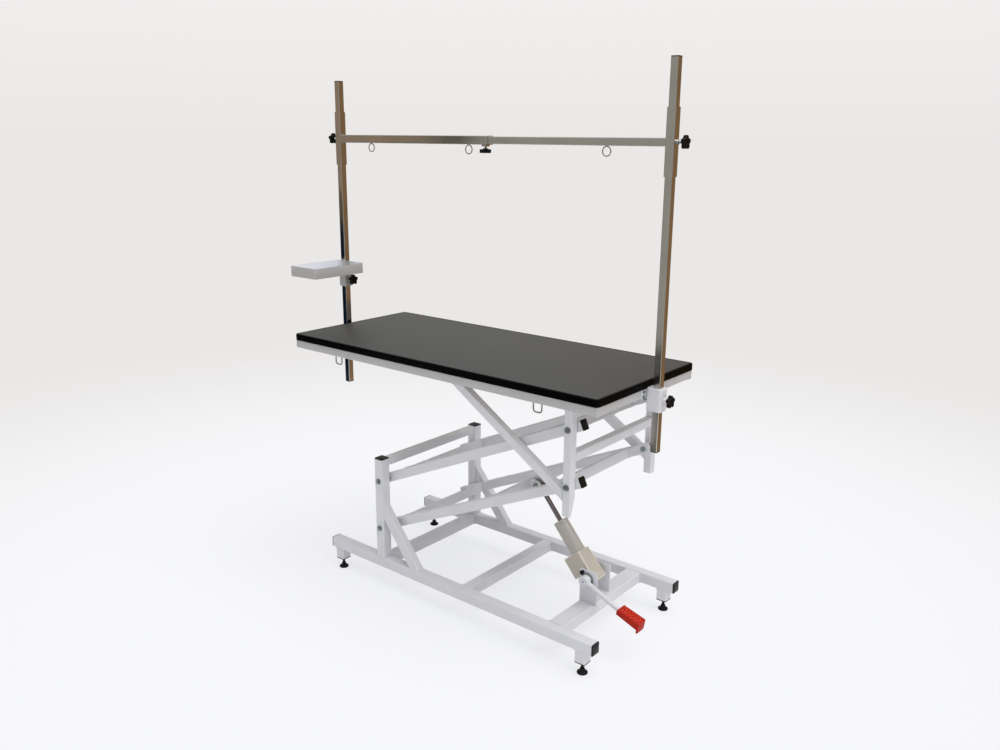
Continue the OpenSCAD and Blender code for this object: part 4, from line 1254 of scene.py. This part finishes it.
# name, direction that it shines from, strength, spread in degrees
LAMPS = (("overhead_lamp", (0.4, 0.0, 1.0), 0.62, 60),)
# name, middle, bearing that the board faces, width, height, colour
CARDS = (
    ("timber_board", (1.25, 1.15, 1.1), -115, 2.2, 2.2, "#967756"),
    ("navy_board", (-1.64, -0.80, 0.741), 41, 0.8, 1.0, "#001A2E"),
    ("olive_board", (-1.64, -0.80, 1.32), 41, 0.8, 0.16, "#6A6352"),
    ("grey_board", (0.1, -1.05, 0.2925), 61, 1.6, 0.585, "#7E7C78"),
    ("black_board", (0.1, -1.15, 0.663), 61, 0.5, 0.156, "#0C0B0B"),
    ("dark_stand", (-1.775, -1.854, 1.65), 49, 0.16, 0.6, "#2A2419"),
)  # fmt: skip
# the room's colours round the ring, anticlockwise from behind the low end of the table
RING_LOW = (
    (0.0, "#8A8780"), (0.06, "#B0B0AC"), (0.12, "#AEAEA9"), (0.19, "#AEAEA9"),
    (0.33, "#B8B8B0"), (0.5, "#B4B0A8"), (0.6, "#9C8068"), (0.68, "#9C8068"), (0.8, "#B0ACA4"),
)  # fmt: skip
RING_HIGH = (
    (0.0, "#B0ACA4"), (0.085, "#A79384"), (0.113, "#A5937F"), (0.127, "#837D74"),
    (0.136, "#AEAEA8"), (0.2, "#AEAEA8"), (0.4, "#B6B4AE"), (0.6, "#8F7358"),
    (0.68, "#8F7358"), (0.85, "#C0BEB8"),
)  # fmt: skip


class GROOMING_PT_panel(Panel):
    """Lists the table's pieces"""

    bl_idname = "GROOMING_PT_panel"
    bl_label = "Grooming Table"
    bl_space_type = "VIEW_3D"
    bl_region_type = "UI"
    bl_category = "Grooming Table"

    def draw(self, context):
        column = self.layout.column()
        for operator in OPERATORS:
            column.operator(operator.bl_idname)
        for group in (context.scene.grooming_sizes, context.scene.grooming_colours):
            box = self.layout.box()
            for key in group.bl_rna.properties.keys():
                if key not in ("rna_type", "name"):
                    box.prop(group, key)


OPERATORS = (
    GROOMING_OT_steelwork,
    GROOMING_OT_star_knobs,
    GROOMING_OT_levelling_feet,
    GROOMING_OT_end_plugs,
    GROOMING_OT_bolts,
    GROOMING_OT_sockets,
    GROOMING_OT_table_top,
    GROOMING_OT_pump,
    GROOMING_OT_pedal,
    GROOMING_OT_tool_tray,
    GROOMING_OT_welds,
    GROOMING_OT_studio,
)
CLASSES = (GroomingColours, GroomingSizes, *OPERATORS, GROOMING_PT_panel)


def register():
    for cls in CLASSES:
        bpy.utils.register_class(cls)
    bpy.types.Scene.grooming_colours = PointerProperty(type=GroomingColours)
    bpy.types.Scene.grooming_sizes = PointerProperty(type=GroomingSizes)


def unregister():
    del bpy.types.Scene.grooming_sizes
    del bpy.types.Scene.grooming_colours
    for cls in reversed(CLASSES):
        bpy.utils.unregister_class(cls)


def main():
    register()
    for operator in OPERATORS:
        group, name = operator.bl_idname.split(".")
        getattr(getattr(bpy.ops, group), name)()


if __name__ == "__main__":
    main()
